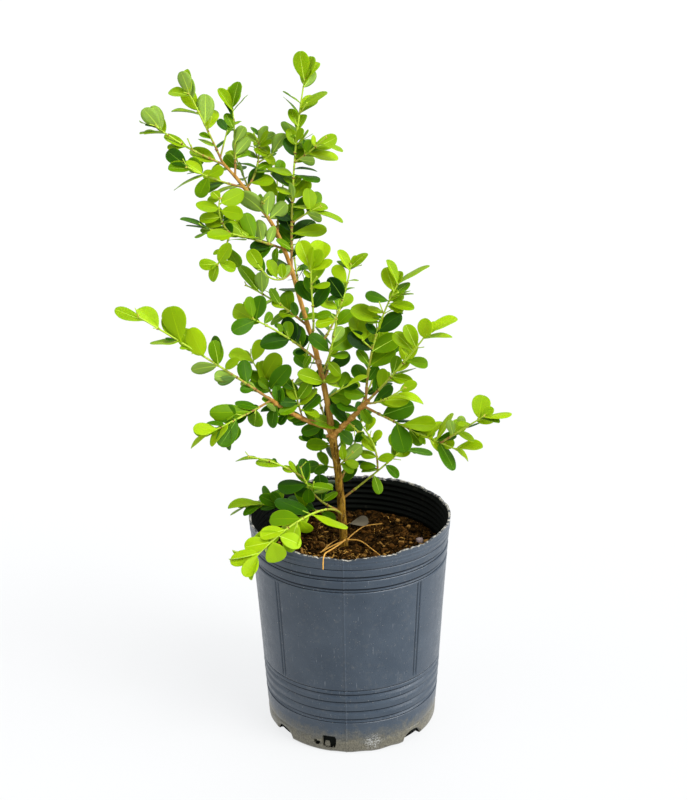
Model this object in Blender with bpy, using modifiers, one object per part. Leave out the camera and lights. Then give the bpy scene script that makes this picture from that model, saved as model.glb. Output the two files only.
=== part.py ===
"""A young boxwood shrub in a grey nursery pot: an open, leaning plant of small paired leaves.

Blender 4.5, metres, +Z up. The origin is on the pot's axis, in its flat underside. -Y is the side
that the plant turns to the light. The plant is laid out in three steps: the trunk and two boughs
from a few stations, the shoots as arcs that set out from them, and along each shoot pairs of leaves
by one seeded rule. Each mass, a shoot with all that grows from it, becomes one closed solid.
"""

import math
import random
from collections import namedtuple

import bmesh
import bpy
from mathutils import Matrix, Vector, kdtree
from mathutils.bvhtree import BVHTree

MM = 0.001
CLEARANCE = 0.0003

# ---------------------------------------------------------------- driving dimensions, in metres
POT_HEIGHT = 0.178
RIM_RADIUS = 0.0800
FOOT_RADIUS = 0.0690
FOOT_CORNER = 0.0030
WALL = 0.0016
POT_SEGMENTS = 48
GROOVE_DEPTH = 0.0011
UPPER_GROOVES = (0.160, 0.150)
UPPER_GROOVE_WIDTH = 0.0045
LOWER_GROOVES = (0.057, 0.048, 0.039, 0.030)
LOWER_GROOVE_WIDTH = 0.0030
SEAM_ANGLE = math.radians(-94)
NOTCH_SPREAD = math.radians(49)
NOTCH_WIDTH = 0.017
NOTCH_HEIGHT = 0.0055
DRAIN_ANGLE = math.radians(-105)
DRAIN_WIDTH = 0.010
DRAIN_BASE = 0.0045
DRAIN_HEIGHT = 0.009
RIM_BITES = 14
RIM_BITE_DEPTH = 0.0014

SOIL_LEVEL = 0.1460
SOIL_SWELL = 0.0030
SOIL_RINGS = 7
SOIL_SPOKES = 24

TRUNK_SIDES = 8
BOUGH_SIDES = 6
TWIG_SIDES = 3
LIMB_STEP = 0.013

LIGHT = Vector((0.0, -0.78, 0.62)).normalized()
SEED = "boxwood"

# Height, place along X and Y, and diameter of the trunk, in millimetres, from the soil to its tip.
TRUNK_STATIONS = (
    (146, -5, 3, 11.0),
    (152, -5, 3, 8.2),
    (188, -7, 2, 7.0),
    (223, -10, 0, 6.6),
    (249, -13.5, -2, 7.2),
    (266, -15.5, -2, 5.2),
    (306, -23, 1, 4.5),
    (354, -36, 4, 4.0),
    (384, -44, 4, 3.8),
    (411, -55, 4, 3.6),
    (437, -74, 7, 3.2),
    (457, -91, 10, 2.4),
)

# Each bough or shoot: the limb that carries it and how far along that limb, then its heading
# (0 is +X, 90 is +Y), its rise above the level, its length, and how far its rise and heading
# turn on the way. Millimetres and degrees.
Bough = namedtuple("Bough", "name limb at heading rise length lift swing thick thin")
BOUGHS = (
    Bough("bough_right", "trunk", 99, 339, 43, 44, 8, 1, 4.4, 3.6),
    Bough("bough_left", "trunk", 105, 193, 20, 59, 24, 18, 4.0, 3.0),
)

# A shoot adds the number of its leaf pairs, how far along it the first pair stands, and the
# length of a full leaf.
Shoot = namedtuple("Shoot", "name limb at heading rise length lift swing pairs first leaf")
SHOOTS = (
    Shoot("leader", "trunk", 330, 202, 68, 56, -4, 0, 4, 10, 21),
    Shoot("leader_left", "trunk", 328, 193, 23, 58, 18, 4, 5, 12, 18),
    Shoot("leader_low", "trunk", 306, 203, 15, 47, 17, 1, 3, 12, 18),
    Shoot("tuft_spire", "trunk", 316, 82, 70, 57, 8, 30, 4, 10, 17),
    Shoot("tuft_right", "trunk", 304, 52, 29, 47, 60, 32, 4, 14, 16),
    Shoot("shoulder", "trunk", 251, 212, 25, 66, -11, -18, 4, 14, 19),
    Shoot("shoulder_up", "shoulder", 42, 197, 48, 28, 56, 4, 2, 10, 18),
    Shoot("shoulder_down", "shoulder", 42, 249, -52, 27, 13, -11, 2, 10, 17),
    Shoot("spire", "trunk", 233, 67, 89, 142, -15, -21, 8, 16, 21),
    Shoot("spire_right", "spire", 71, 341, 33, 32, 9, -5, 3, 10, 16),
    Shoot("spire_low", "spire", 26, 348, 37, 26, -12, -2, 2, 14, 18),
    Shoot("front_mid", "trunk", 181, 281, 24, 77, 68, -24, 5, 16, 19),
    Shoot("front_right", "trunk", 149, 296, 48, 62, 21, -8, 4, 14, 19),
    Shoot("back_right", "trunk", 168, 43, 37, 75, 34, 16, 5, 16, 19),
    Shoot("right_up", "bough_right", 34.5, 349, 89, 98, -27, 6, 7, 12, 19),
    Shoot("right_out", "bough_right", 38, 326, 46, 80, 8, 2, 5, 14, 19),
    Shoot("right_near", "bough_right", 34, 294, 15, 55, 26, 25, 4, 16, 19),
    Shoot("right_low", "bough_right", 31, 332, -19, 82, 8, -4, 6, 14, 20),
    Shoot("right_low_tip", "right_low", 66, 322, 38, 48, 0, 0, 3, 10, 19),
    Shoot("foot_right", "trunk", 42, 9, 35, 64, 6, 1, 4, 14, 16),
    Shoot("foot_right_up", "foot_right", 32, 157, 95, 48, -55, 14, 3, 12, 18),
    Shoot("foot_left", "trunk", 32, 207, 26, 63, 49, 22, 4, 16, 22),
    Shoot("foot_left_out", "foot_left", 47, 173, 35, 46, -24, 11, 3, 14, 20),
    Shoot("foot_front", "trunk", 28, 254, 42, 118, -76, -39, 6, 36, 25),
    Shoot("foot_side", "trunk", 24, 174, 25, 80, -33, 8, 4, 26, 19),
    Shoot("long_left", "bough_left", 54, 194, 39, 120, -3, 1, 7, 14, 21),
    Shoot("left_up", "bough_left", 44, 128, 38, 47, 1, -2, 3, 12, 20),
    Shoot("left_low", "bough_left", 52, 216, -16, 60, 7, 4, 5, 12, 20),
    Shoot("mid_left", "trunk", 160, 210, 45, 71, -15, 6, 5, 14, 20),
    Shoot("high_left", "trunk", 188, 170, 41, 57, -15, 3, 4, 12, 20),
    Shoot("high_drop", "trunk", 233, 241, -31, 37, 88, -25, 2, 12, 18),
    Shoot("left_spur", "bough_left", 20, 203, 75, 33, 3, 0, 2, 12, 19),
    Shoot("fork_spur", "trunk", 129, 322, 43, 26, -15, -2, 2, 14, 20),
    Shoot("low_back", "trunk", 89, 127, -12, 26, 10, -2, 2, 14, 18),
    Shoot("low_back_left", "trunk", 70, 125, -14, 24, 5, 0, 2, 14, 18),
    Shoot("low_right", "trunk", 71, 319, 43, 23, 4, 0, 2, 12, 20),
    Shoot("high_spur", "trunk", 287, 300, 40, 10, 0, 0, 1, 6, 18),
    Shoot("fork_pair", "trunk", 142, 275, 30, 12, 0, 0, 1, 8, 26),
    Shoot("bough_under", "bough_right", 12, 300, -12, 16, 0, 0, 2, 8, 15),
    Shoot("back_foot", "trunk", 36, 96, 34, 60, 20, 0, 4, 16, 20),
    Shoot("back_low", "trunk", 56, 66, 30, 58, 20, 0, 4, 14, 20),
    Shoot("back_fork", "trunk", 96, 112, 34, 74, 12, 0, 5, 14, 20),
    Shoot("back_bough", "bough_right", 24, 62, 30, 62, 20, 0, 4, 14, 20),
    Shoot("back_mid", "trunk", 140, 76, 36, 70, 10, 0, 4, 14, 20),
    Shoot("back_high", "trunk", 206, 100, 34, 60, 14, 0, 4, 12, 19),
    Shoot("back_shoulder", "trunk", 262, 92, 40, 52, 10, 0, 3, 12, 18),
    Shoot("back_top", "trunk", 294, 118, 36, 40, 10, 0, 3, 10, 17),
)


# ---------------------------------------------------------------- limbs as paths
class Path:
    """A limb's centreline, with its radius at each point."""

    def __init__(self, points, radii):
        self.points = points
        self.radii = radii
        self.reach = [0.0]
        for first, second in zip(points, points[1:]):
            self.reach.append(self.reach[-1] + (second - first).length)

    def at(self, distance):
        """The point, direction and radius this far along, and beyond the tip those of the tip."""
        last = len(self.points) - 2
        step = next((i for i in range(last) if self.reach[i + 1] > distance), last)
        span = self.reach[step + 1] - self.reach[step]
        share = min(1.0, (distance - self.reach[step]) / span)
        first, second = self.points[step], self.points[step + 1]
        radius = self.radii[step] + share * (self.radii[step + 1] - self.radii[step])
        return first.lerp(second, share), (second - first).normalized(), radius

    def gap(self, point):
        """How far a point is from the limb's surface, its ends cut off flat."""
        nearest = math.inf
        for step in range(len(self.points) - 1):
            first, second = self.points[step], self.points[step + 1]
            axis = second - first
            share = (point - first).dot(axis) / axis.length_squared
            inside = min(1.0, max(0.0, share))
            radius = self.radii[step] + inside * (self.radii[step + 1] - self.radii[step])
            beyond = abs(share - inside) * axis.length
            aside = (point - first - axis * share).length - radius
            nearest = min(nearest, math.hypot(beyond, max(0.0, aside)) if beyond else aside)
        return nearest

    def beads(self, spacing=0.0015):
        """(point, radius) at even steps along the limb."""
        count = max(2, math.ceil(self.reach[-1] / spacing))
        for i in range(count + 1):
            point, _, radius = self.at(self.reach[-1] * i / count)
            yield point, radius


def smooth_path(stations, step):
    """A curve through (point, radius) stations, with a point about every step."""
    points, radii = [], []
    for i in range(len(stations) - 1):
        a, b = stations[max(0, i - 1)], stations[i]
        c, d = stations[i + 1], stations[min(len(stations) - 1, i + 2)]
        count = max(1, round((c[0] - b[0]).length / step))
        for j in range(count + (i == len(stations) - 2)):
            t = j / count
            bend = (c[0] - a[0]) * (t - 2 * t**2 + t**3) / 2 + (d[0] - b[0]) * (t**3 - t**2) / 2
            points.append(b[0] * (1 - 3 * t**2 + 2 * t**3) + c[0] * (3 * t**2 - 2 * t**3) + bend)
            radii.append(b[1] + t * (c[1] - b[1]))
    return Path(points, radii)


def trunk_path():
    stations = [
        (Vector((x, y, height)) * MM, diameter / 2 * MM)
        for height, x, y, diameter in TRUNK_STATIONS
    ]
    stations[0] = (stations[0][0] + Vector((0, 0, CLEARANCE)), stations[0][1])
    return smooth_path(stations, LIMB_STEP)


def arc_path(start, limb, thick, thin, skip=0.0):
    """A limb that sets out at its heading and rise and turns evenly by its swing and lift.

    skip leaves out the first stretch, which lies inside the limb that carries this one."""
    length = limb.length * MM
    count = max(2, round(length / LIMB_STEP))
    points, radii = [], []
    point = start.copy()
    fine = 8
    for i in range(count * fine + 1):
        if i % fine == 0:
            points.append(point.copy())
            radii.append(thick + (thin - thick) * i / (count * fine))
        along = (i + 0.5) / (count * fine)
        turn = math.radians(limb.heading + limb.swing * along)
        climb = math.radians(limb.rise + limb.lift * along)
        level = math.cos(climb)
        ahead = Vector((level * math.cos(turn), level * math.sin(turn), math.sin(climb)))
        point += ahead * length / (count * fine)
    if skip:
        way = (points[1] - points[0]).normalized()
        points[0] = points[0] + way * min(skip, 0.8 * (points[1] - points[0]).length)
    return Path(points, radii)


def stand_off(carrier, start, way, radius):
    """How far along its way a limb starts, for its flat end to clear the one that carries it."""
    across = way.orthogonal().normalized() * radius
    rim = [Matrix.Rotation(math.tau * i / 8, 3, way) @ across for i in range(8)]
    skip = 0.0
    while any(carrier.gap(start + way * skip + spot) < CLEARANCE * 1.1 for spot in rim):
        skip += CLEARANCE / 4
    return skip


# ---------------------------------------------------------------- the leaf
LEAF_POINTS = 5
LEAF_WIDTH = 0.66
LEAF_THICKNESS = 0.045
LEAF_BLUNT = 0.93
LEAF_CUP = 0.10
LEAF_CURL = 0.10


def leaf_point(turn, rise):
    """A point of a leaf one long, from its base along +X: turn goes round its edge, from the
    base, and rise is 1 on its face, -1 on its back and 0 on its edge."""
    edge = 1 - abs(rise)
    along = 0.5 + edge * (((1 - math.cos(turn)) / 2) ** 0.75 / LEAF_BLUNT - 0.5)
    across = edge * LEAF_WIDTH / 2 * math.sin(turn) / math.sin(math.tau / LEAF_POINTS)
    height = LEAF_THICKNESS / 2 * rise + LEAF_CUP * abs(across) - LEAF_CURL * along**2
    return Vector((along, across, height))


def leaf_mesh():
    """A ball of two bands, its equator drawn out to the leaf's edge."""
    mesh = bpy.data.meshes.new("leaf_blank")
    shape = bmesh.new()
    bmesh.ops.create_uvsphere(shape, u_segments=LEAF_POINTS, v_segments=2, radius=1)
    edge = [vertex for vertex in shape.verts if abs(vertex.co.z) < 0.5]
    edge.sort(key=lambda vertex: math.atan2(vertex.co.y, vertex.co.x))
    for vertex in set(shape.verts) - set(edge):
        vertex.co = leaf_point(0, round(vertex.co.z))
    for i, vertex in enumerate(edge):
        vertex.co = leaf_point(math.tau * i / LEAF_POINTS, 0)
    bmesh.ops.recalc_face_normals(shape, faces=shape.faces)
    shape.to_mesh(mesh)
    shape.free()
    return mesh


Leaf = namedtuple("Leaf", "matrix length youth")


def leaf_matrix(base, ahead, face, length, width):
    """Places a leaf one long: ahead is where its tip points, and face where its upper side looks."""
    up = (face - ahead * face.dot(ahead)).normalized()
    side = up.cross(ahead)
    turn = Matrix((ahead, side, up)).transposed().to_4x4()
    return Matrix.Translation(base) @ turn @ Matrix.Diagonal((length, width, length, 1))


# ---------------------------------------------------------------- the space round the limbs
SHELL_GROW = 0.0005


class Space:
    """What the air already holds: limbs as strings of beads, and leaves as small closed shells."""

    def __init__(self):
        self.beads = []
        self.blades = []
        self.tree = None

    def add_path(self, mass, path):
        self.beads.extend((mass, point, radius) for point, radius in path.beads())

    def settle(self):
        """Indexes the beads, once every stem is laid out."""
        self.tree = kdtree.KDTree(len(self.beads))
        for i, (_, point, _) in enumerate(self.beads):
            self.tree.insert(point, i)
        self.tree.balance()

    def shell(self, matrix):
        """A leaf grown a little all round, the same without its root, its middle and its length."""
        middle = matrix @ Vector((0.5, 0, 0))
        length = matrix.to_scale().x
        grown = []
        for turn, rise in SHELL_CORNERS:
            point = leaf_point(turn, rise)
            point.x = 0.5 + (point.x - 0.5) * (1 + SHELL_GROW / length)
            point.y *= 1 + 2 * SHELL_GROW / length
            point.z += rise * SHELL_GROW / length
            grown.append(matrix @ point)
        outer = [grown[0].lerp(middle, 0.5), *grown[1:]]
        trees = (BVHTree.FromPolygons(corners, SHELL_FACES) for corners in (grown, outer))
        return *trees, middle, length

    def admits(self, mass, matrix):
        """The leaf's shell, or None where it would touch a limb, a pot or another mass's leaf."""
        shell = self.shell(matrix)
        tree, _, middle, length = shell
        if any(in_pot(point) for point in leaf_spots(matrix)):
            return None
        for _, i, _ in self.tree.find_range(middle, length * 0.5 + 0.006):
            owner, point, radius = self.beads[i]
            if owner != mass and tree.find_nearest(point, radius + CLEARANCE)[0]:
                return None
        for owner, other, _, centre, size in self.blades:
            if owner != mass and (centre - middle).length < (size + length) * 0.56:
                if tree.overlap(other):
                    return None
        return shell

    def crosses_own(self, mass, shell):
        """Whether the leaf, past its root, cuts through another of its own mass."""
        _, outer, middle, length = shell
        for owner, _, other, centre, size in self.blades:
            if owner == mass and (centre - middle).length < (size + length) * 0.56:
                if outer.overlap(other):
                    return True
        return False

    def add_twig(self, mass, path):
        """Side twigs come after the beads are indexed, so they are kept as thin blades."""
        start, end = path.points[0], path.points[-1]
        ahead = (end - start).normalized()
        self.add_blade(mass, self.shell(leaf_matrix(start, ahead, LIGHT, (end - start).length, 0.003)))

    def add_blade(self, mass, shell):
        self.blades.append((mass, *shell))


SHELL_CORNERS = [(i * math.tau / LEAF_POINTS, 0) for i in range(LEAF_POINTS)]
SHELL_CORNERS += [(0, 1), (0, -1)]
SHELL_FACES = [
    (i, (i + 1) % LEAF_POINTS, LEAF_POINTS + side)
    for i in range(LEAF_POINTS)
    for side in (0, 1)
]


def leaf_spots(matrix):
    """Points all over a leaf, past its root, close enough together to find a thin wall."""
    edge = [leaf_point(turn, 0) for turn, rise in SHELL_CORNERS if not rise]
    tip_to_root = [Vector((along, 0, 0)) for along in (0.3, 0.5, 0.7)]
    spots = edge[1:] + tip_to_root
    for first, second in zip(edge, edge[1:] + edge[:1]):
        for share in (0.25, 0.5, 0.75):
            rim = first.lerp(second, share)
            spots.extend((rim, rim.lerp(tip_to_root[1], 0.5)))
    return [matrix @ spot for spot in spots if spot.x > 0.15]


def outer_radius(height):
    """The pot's outside, without its grooves."""
    return FOOT_RADIUS + (RIM_RADIUS - FOOT_RADIUS) * height / POT_HEIGHT


def in_pot(point):
    """Whether a point is in the pot's wall or in the soil, or too close to them."""
    near = 0.0012
    distance = math.hypot(point.x, point.y)
    outside = outer_radius(point.z)
    if point.z > POT_HEIGHT + near or distance > outside + near:
        return False
    in_wall = distance > outside - WALL - GROOVE_DEPTH - near
    return in_wall or point.z < SOIL_LEVEL + SOIL_SWELL + near


# ---------------------------------------------------------------- the growing rule
TWIST = 36
OPEN_OLD = 62
OPEN_YOUNG = 26
SIDE_CHANCE = 0.16
NUDGES = (0, 18, -18, 36, -36, 58, -58)
ROOT_DEPTH = 0.00015
STEM_THICK = 0.0013
STEM_THIN = 0.0007

Mass = namedtuple("Mass", "name stems leaves")


def pair_sides(axis, turn):
    """The two opposite ways in which the leaves of a pair leave the stem."""
    across = axis.cross(LIGHT).normalized()
    over = axis.cross(across)
    side = across * math.cos(math.radians(turn)) + over * math.sin(math.radians(turn))
    return side, -side


def try_leaf(space, mass, point, axis, side, opening, length, rng):
    """A leaf's matrix, swung round the stem a little at a time until it is clear of the rest."""
    wander = Vector((rng.uniform(-1, 1), rng.uniform(-1, 1), rng.uniform(-1, 1))) * 0.38
    width = length * rng.uniform(0.90, 1.10)
    spare = None
    for nudge in NUDGES:
        out = Matrix.Rotation(math.radians(nudge), 3, axis) @ side
        tilt = math.radians(opening)
        ahead = (axis * math.cos(tilt) + out * math.sin(tilt)).normalized()
        face = LIGHT + axis * 0.4 + wander
        matrix = leaf_matrix(point - ahead * ROOT_DEPTH, ahead, face, length, width)
        shell = space.admits(mass, matrix)
        if shell and not space.crosses_own(mass, shell):
            space.add_blade(mass, shell)
            return matrix
        spare = spare or (shell and (shell, matrix))
    if spare:
        space.add_blade(mass, spare[0])
        return spare[1]
    return None


def grow_shoot(space, mass, shoot, path, rng, leaves, stems):
    """Leaf pairs up the shoot, with a short side twig in some of their axils, and its tip."""
    pairs = shoot.pairs
    gap = (shoot.length - shoot.first) / max(1, pairs - 1)
    for k in range(pairs):
        youth = (shoot.first + gap * k) / shoot.length
        point, axis, _ = path.at((shoot.first + gap * k) * MM)
        turn = (TWIST if k % 2 else -TWIST) + rng.uniform(-12, 12)
        opening = OPEN_OLD + (OPEN_YOUNG - OPEN_OLD) * youth**2 + rng.uniform(-8, 8)
        size = shoot.leaf * MM * (0.86 + 0.22 * math.sin(math.pi * min(1, youth * 1.1)))
        for side in pair_sides(axis, turn):
            length = size * rng.uniform(0.9, 1.08)
            matrix = try_leaf(space, mass, point, axis, side, opening, length, rng)
            if matrix:
                leaves.append(Leaf(matrix, length, youth))
        if 0 < k < pairs - 1 and shoot.length > 45 and rng.random() < SIDE_CHANCE:
            side = pair_sides(axis, turn + 90)[rng.randrange(2)]
            grow_side(space, mass, point, axis, side, size, youth, rng, leaves, stems)
    point, axis, _ = path.at(shoot.length * MM - 0.0004)
    if shoot.length > 40:
        length = shoot.leaf * MM * 0.55
        matrix = try_leaf(space, mass, point, axis, pair_sides(axis, 90)[0], 12, length, rng)
        if matrix:
            leaves.append(Leaf(matrix, length, 1.0))


def grow_side(space, mass, point, axis, side, size, youth, rng, leaves, stems):
    """A short twig in a leaf's axil with a pair of smaller leaves at its tip."""
    ahead = (axis + side * 0.9).normalized()
    length = rng.uniform(0.009, 0.015)
    root = point - ahead * ROOT_DEPTH
    path = Path([root, point + ahead * length], [STEM_THIN, STEM_THIN * 0.8])
    if not clear_path(space, mass, path):
        return
    grown = []
    for out in pair_sides(ahead, rng.uniform(-30, 30)):
        small = size * rng.uniform(0.60, 0.74)
        matrix = try_leaf(space, mass, path.points[1] - ahead * 0.0004, ahead, out, 42, small, rng)
        if matrix:
            grown.append(Leaf(matrix, small, min(1.0, youth + 0.3)))
    if grown:
        stems.append(path)
        leaves.extend(grown)
        space.add_twig(mass, path)


def clear_path(space, mass, path):
    for point, radius in path.beads():
        if in_pot(point):
            return False
        for owner, tree, _, centre, size in space.blades:
            if owner != mass and (centre - point).length < size:
                if tree.find_nearest(point, radius + CLEARANCE)[0]:
                    return False
        for _, i, gap in space.tree.find_range(point, 0.006):
            owner, _, other = space.beads[i]
            if owner != mass and gap < other + radius + CLEARANCE:
                return False
    return True


def lay_limbs():
    """The paths of the trunk, the boughs and every shoot, by name."""
    paths = {"trunk": trunk_path()}
    for bough in BOUGHS:
        start = paths[bough.limb].at(bough.at * MM)[0]
        thick = bough.thick / 2 * MM
        way = arc_path(start, bough, thick, thick).at(0)[1]
        skip = stand_off(paths[bough.limb], start, way, thick)
        paths[bough.name] = arc_path(start, bough, thick, bough.thin / 2 * MM, skip)
    for shoot in SHOOTS:
        start = paths[shoot.limb].at(shoot.at * MM)[0]
        thick = STEM_THICK * min(1.0, 0.6 + shoot.length / 200)
        skip = 0.0
        if shoot.limb in ("trunk", *(bough.name for bough in BOUGHS)):
            way = arc_path(start, shoot, thick, thick).at(0)[1]
            skip = stand_off(paths[shoot.limb], start, way, thick)
        paths[shoot.name] = arc_path(start, shoot, thick, STEM_THIN, skip)
    return paths


def grow(paths):
    """Every mass with its stems and leaves. A shoot on another shoot joins that one's mass."""
    homes = {}
    for shoot in SHOOTS:
        homes[shoot.name] = homes.get(shoot.limb, shoot.name)
    space = Space()
    for name, path in paths.items():
        space.add_path(homes.get(name, name), path)
    space.settle()
    masses = {}
    for shoot in SHOOTS:
        home = homes[shoot.name]
        mass = masses.setdefault(home, Mass(home, [], []))
        mass.stems.append(paths[shoot.name])
        rng = random.Random(f"{SEED} {shoot.name}")
        grow_shoot(space, home, shoot, paths[shoot.name], rng, mass.leaves, mass.stems)
    return list(masses.values())


# ---------------------------------------------------------------- making solids
def clear_scene():
    for obj in list(bpy.data.objects):
        bpy.data.objects.remove(obj, do_unlink=True)


def new_collection(name):
    collection = bpy.data.collections.new(name)
    bpy.context.scene.collection.children.link(collection)
    return collection


def plain_material(name, colour, roughness):
    material = bpy.data.materials.new(name)
    material.use_nodes = True
    shader = material.node_tree.nodes["Principled BSDF"]
    shader.inputs["Base Color"].default_value = (*colour, 1)
    shader.inputs["Roughness"].default_value = roughness
    shader.inputs["Metallic"].default_value = 0
    return material


def add_mesh(name, mesh, collection, material=None):
    obj = bpy.data.objects.new(name, mesh)
    collection.objects.link(obj)
    if material:
        mesh.materials.clear()
        mesh.materials.append(material)
    return obj


def shade_round(obj, angle=40):
    """Smooth shading that keeps each edge sharper than the angle."""
    obj.data.shade_smooth()
    obj.data.set_sharp_from_angle(angle=math.radians(angle))
    return obj


def as_mesh(obj, name, collection, material=None):
    """The object's evaluated shape as a new object of its own, in place of the old one."""
    bpy.context.view_layer.update()
    graph = bpy.context.evaluated_depsgraph_get()
    mesh = bpy.data.meshes.new_from_object(obj.evaluated_get(graph))
    shape = bmesh.new()
    shape.from_mesh(mesh)
    bmesh.ops.remove_doubles(shape, verts=shape.verts, dist=1e-6)
    bmesh.ops.recalc_face_normals(shape, faces=shape.faces)
    shape.to_mesh(mesh)
    shape.free()
    place = obj.matrix_world.copy()
    bpy.data.objects.remove(obj, do_unlink=True)
    made = add_mesh(name, mesh, collection, material)
    made.matrix_world = place
    return made


def section_curve(sides, helpers):
    """The outline that a limb is swept with: a regular polygon one in radius."""
    data = bpy.data.curves.new(f"section_{sides}", "CURVE")
    data.dimensions = "2D"
    spline = data.splines.new("POLY")
    spline.points.add(sides - 1)
    for i, point in enumerate(spline.points):
        angle = math.tau * i / sides
        point.co = (math.cos(angle), math.sin(angle), 0, 1)
    spline.use_cyclic_u = True
    obj = bpy.data.objects.new(data.name, data)
    obj.hide_render = True
    obj.display_type = "WIRE"
    helpers.objects.link(obj)
    return obj


def sweep(name, path, section, collection, material=None):
    """A closed limb along the path, tapering with its radius."""
    data = bpy.data.curves.new(name, "CURVE")
    data.dimensions = "3D"
    data.bevel_mode = "OBJECT"
    data.bevel_object = section
    data.use_fill_caps = True
    spline = data.splines.new("POLY")
    spline.points.add(len(path.points) - 1)
    for point, place, radius in zip(spline.points, path.points, path.radii):
        point.co = (*place, 1)
        point.radius = radius
    obj = bpy.data.objects.new(name, data)
    collection.objects.link(obj)
    return as_mesh(obj, name, collection, material)


def fuse(base, others, solver="EXACT"):
    """One Boolean union on a collection, applied."""
    union = base.modifiers.new("fuse", "BOOLEAN")
    union.operation = "UNION"
    union.operand_type = "COLLECTION"
    union.collection = others
    union.solver = solver
    bpy.context.view_layer.update()
    graph = bpy.context.evaluated_depsgraph_get()
    mesh = bpy.data.meshes.new_from_object(base.evaluated_get(graph))
    base.modifiers.clear()
    base.data = mesh


def islands(shape):
    """The groups of faces that hang together."""
    left = set(shape.faces)
    while left:
        group, edge = set(), [left.pop()]
        while edge:
            face = edge.pop()
            group.add(face)
            for side in face.edges:
                for other in side.link_faces:
                    if other in left:
                        left.discard(other)
                        edge.append(other)
        yield group


def keep_largest(obj):
    """Drops loose scraps and the walls of sealed hollows: all but the body that holds the stem."""
    shape = bmesh.new()
    shape.from_mesh(obj.data)
    groups = sorted(islands(shape), key=len)
    for group in groups[:-1]:
        bmesh.ops.delete(shape, geom=list(group), context="FACES")
    bmesh.ops.triangulate(shape, faces=shape.faces)
    shape.to_mesh(obj.data)
    shape.free()


def mass_solid(mass, blank, section, parts, material):
    """The mass's stems and leaves fused into one closed body."""
    pieces = new_collection(f"{mass.name}_pieces")
    base = sweep(mass.name, mass.stems[0], section, parts, material)
    for i, stem in enumerate(mass.stems[1:]):
        sweep(f"{mass.name}_twig_{i}", stem, section, pieces)
    for i, leaf in enumerate(mass.leaves):
        blade = add_mesh(f"{mass.name}_leaf_{i}", blank, pieces)
        blade.matrix_world = leaf.matrix
    fuse(base, pieces)
    keep_largest(base)
    base.data.name = mass.name
    base.data.materials.clear()
    base.data.materials.append(material)
    for obj in list(pieces.objects):
        bpy.data.objects.remove(obj, do_unlink=True)
    bpy.data.collections.remove(pieces)
    return base


# ---------------------------------------------------------------- the pot and its soil
def groove_profile(top, width):
    """A groove's four corners down the outside: a short step in, and a slope back out."""
    bottom = top - width
    return (
        (outer_radius(top), top),
        (outer_radius(top) - GROOVE_DEPTH, top - width * 0.3),
        (outer_radius(bottom), bottom),
    )


def pot_profile():
    """The pot's section from the middle of its floor's upper side, up inside and down outside."""
    inner_top = RIM_RADIUS - WALL - GROOVE_DEPTH
    inner_foot = FOOT_RADIUS - WALL - GROOVE_DEPTH
    outside = [(RIM_RADIUS, POT_HEIGHT)]
    for top in UPPER_GROOVES:
        outside.extend(groove_profile(top, UPPER_GROOVE_WIDTH))
    for top in LOWER_GROOVES:
        outside.extend(groove_profile(top, LOWER_GROOVE_WIDTH))
    outside.append((outer_radius(0.014), 0.014))
    outside.append((FOOT_RADIUS - FOOT_CORNER * 0.3, FOOT_CORNER))
    outside.append((FOOT_RADIUS - FOOT_CORNER, 0))
    inside = [(0, WALL), (inner_foot - FOOT_CORNER, WALL), (inner_foot, WALL + FOOT_CORNER)]
    inside.append((inner_top, POT_HEIGHT))
    return inside + outside + [(0, 0)]


def turned(name, profile, segments, collection, material):
    """A profile turned round Z. At +X it runs down its outer side."""
    mesh = bpy.data.meshes.new(name)
    shape = bmesh.new()
    corners = [shape.verts.new((radius, 0, height)) for radius, height in profile]
    for first, second in zip(corners, corners[1:]):
        shape.edges.new((first, second))
    shape.to_mesh(mesh)
    shape.free()
    obj = add_mesh(name, mesh, collection, material)
    screw = obj.modifiers.new("turn", "SCREW")
    screw.steps = segments
    screw.render_steps = segments
    screw.use_merge_vertices = True
    screw.merge_threshold = 1e-5
    return obj


def box_cutter(name, size, place, turn, cutters):
    mesh = bpy.data.meshes.new(name)
    shape = bmesh.new()
    bmesh.ops.create_cube(shape, size=1)
    shape.to_mesh(mesh)
    shape.free()
    obj = add_mesh(name, mesh, cutters)
    obj.matrix_world = (
        Matrix.Rotation(turn, 4, "Z") @ Matrix.Translation(place) @ Matrix.Diagonal((*size, 1))
    )
    obj.hide_render = True
    obj.display_type = "WIRE"
    return obj


def pot_cutters(cutters):
    """Notches under the foot, drain holes above it, and bites out of the hand-cut rim."""
    for middle in (SEAM_ANGLE, SEAM_ANGLE + math.pi):
        for side in (-1, 1):
            place = Vector((FOOT_RADIUS, 0, 0))
            size = (0.020, NOTCH_WIDTH, NOTCH_HEIGHT * 2)
            box_cutter("notch", size, place, middle + side * NOTCH_SPREAD, cutters)
    for turn in (DRAIN_ANGLE, DRAIN_ANGLE + math.pi):
        place = Vector((FOOT_RADIUS, 0, DRAIN_BASE + DRAIN_HEIGHT / 2))
        box_cutter("drain", (0.014, DRAIN_WIDTH, DRAIN_HEIGHT), place, turn, cutters)
    rng = random.Random(f"{SEED} rim")
    for i in range(RIM_BITES):
        turn = math.tau * (i + rng.uniform(0.2, 0.8)) / RIM_BITES
        depth = RIM_BITE_DEPTH * rng.uniform(0.4, 1.0)
        size = (0.014, rng.uniform(0.010, 0.022), depth * 2)
        place = Vector((RIM_RADIUS, 0, POT_HEIGHT))
        box_cutter("bite", size, place, turn, cutters)


def make_pot(parts, cutters):
    plastic = plain_material("slate_plastic", (0.115, 0.140, 0.165), 0.55)
    pot = turned("pot", pot_profile(), POT_SEGMENTS, parts, plastic)
    pot_cutters(cutters)
    cut = pot.modifiers.new("cuts", "BOOLEAN")
    cut.operation = "DIFFERENCE"
    cut.operand_type = "COLLECTION"
    cut.collection = cutters
    return shade_round(as_mesh(pot, "pot", parts, plastic))


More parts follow.
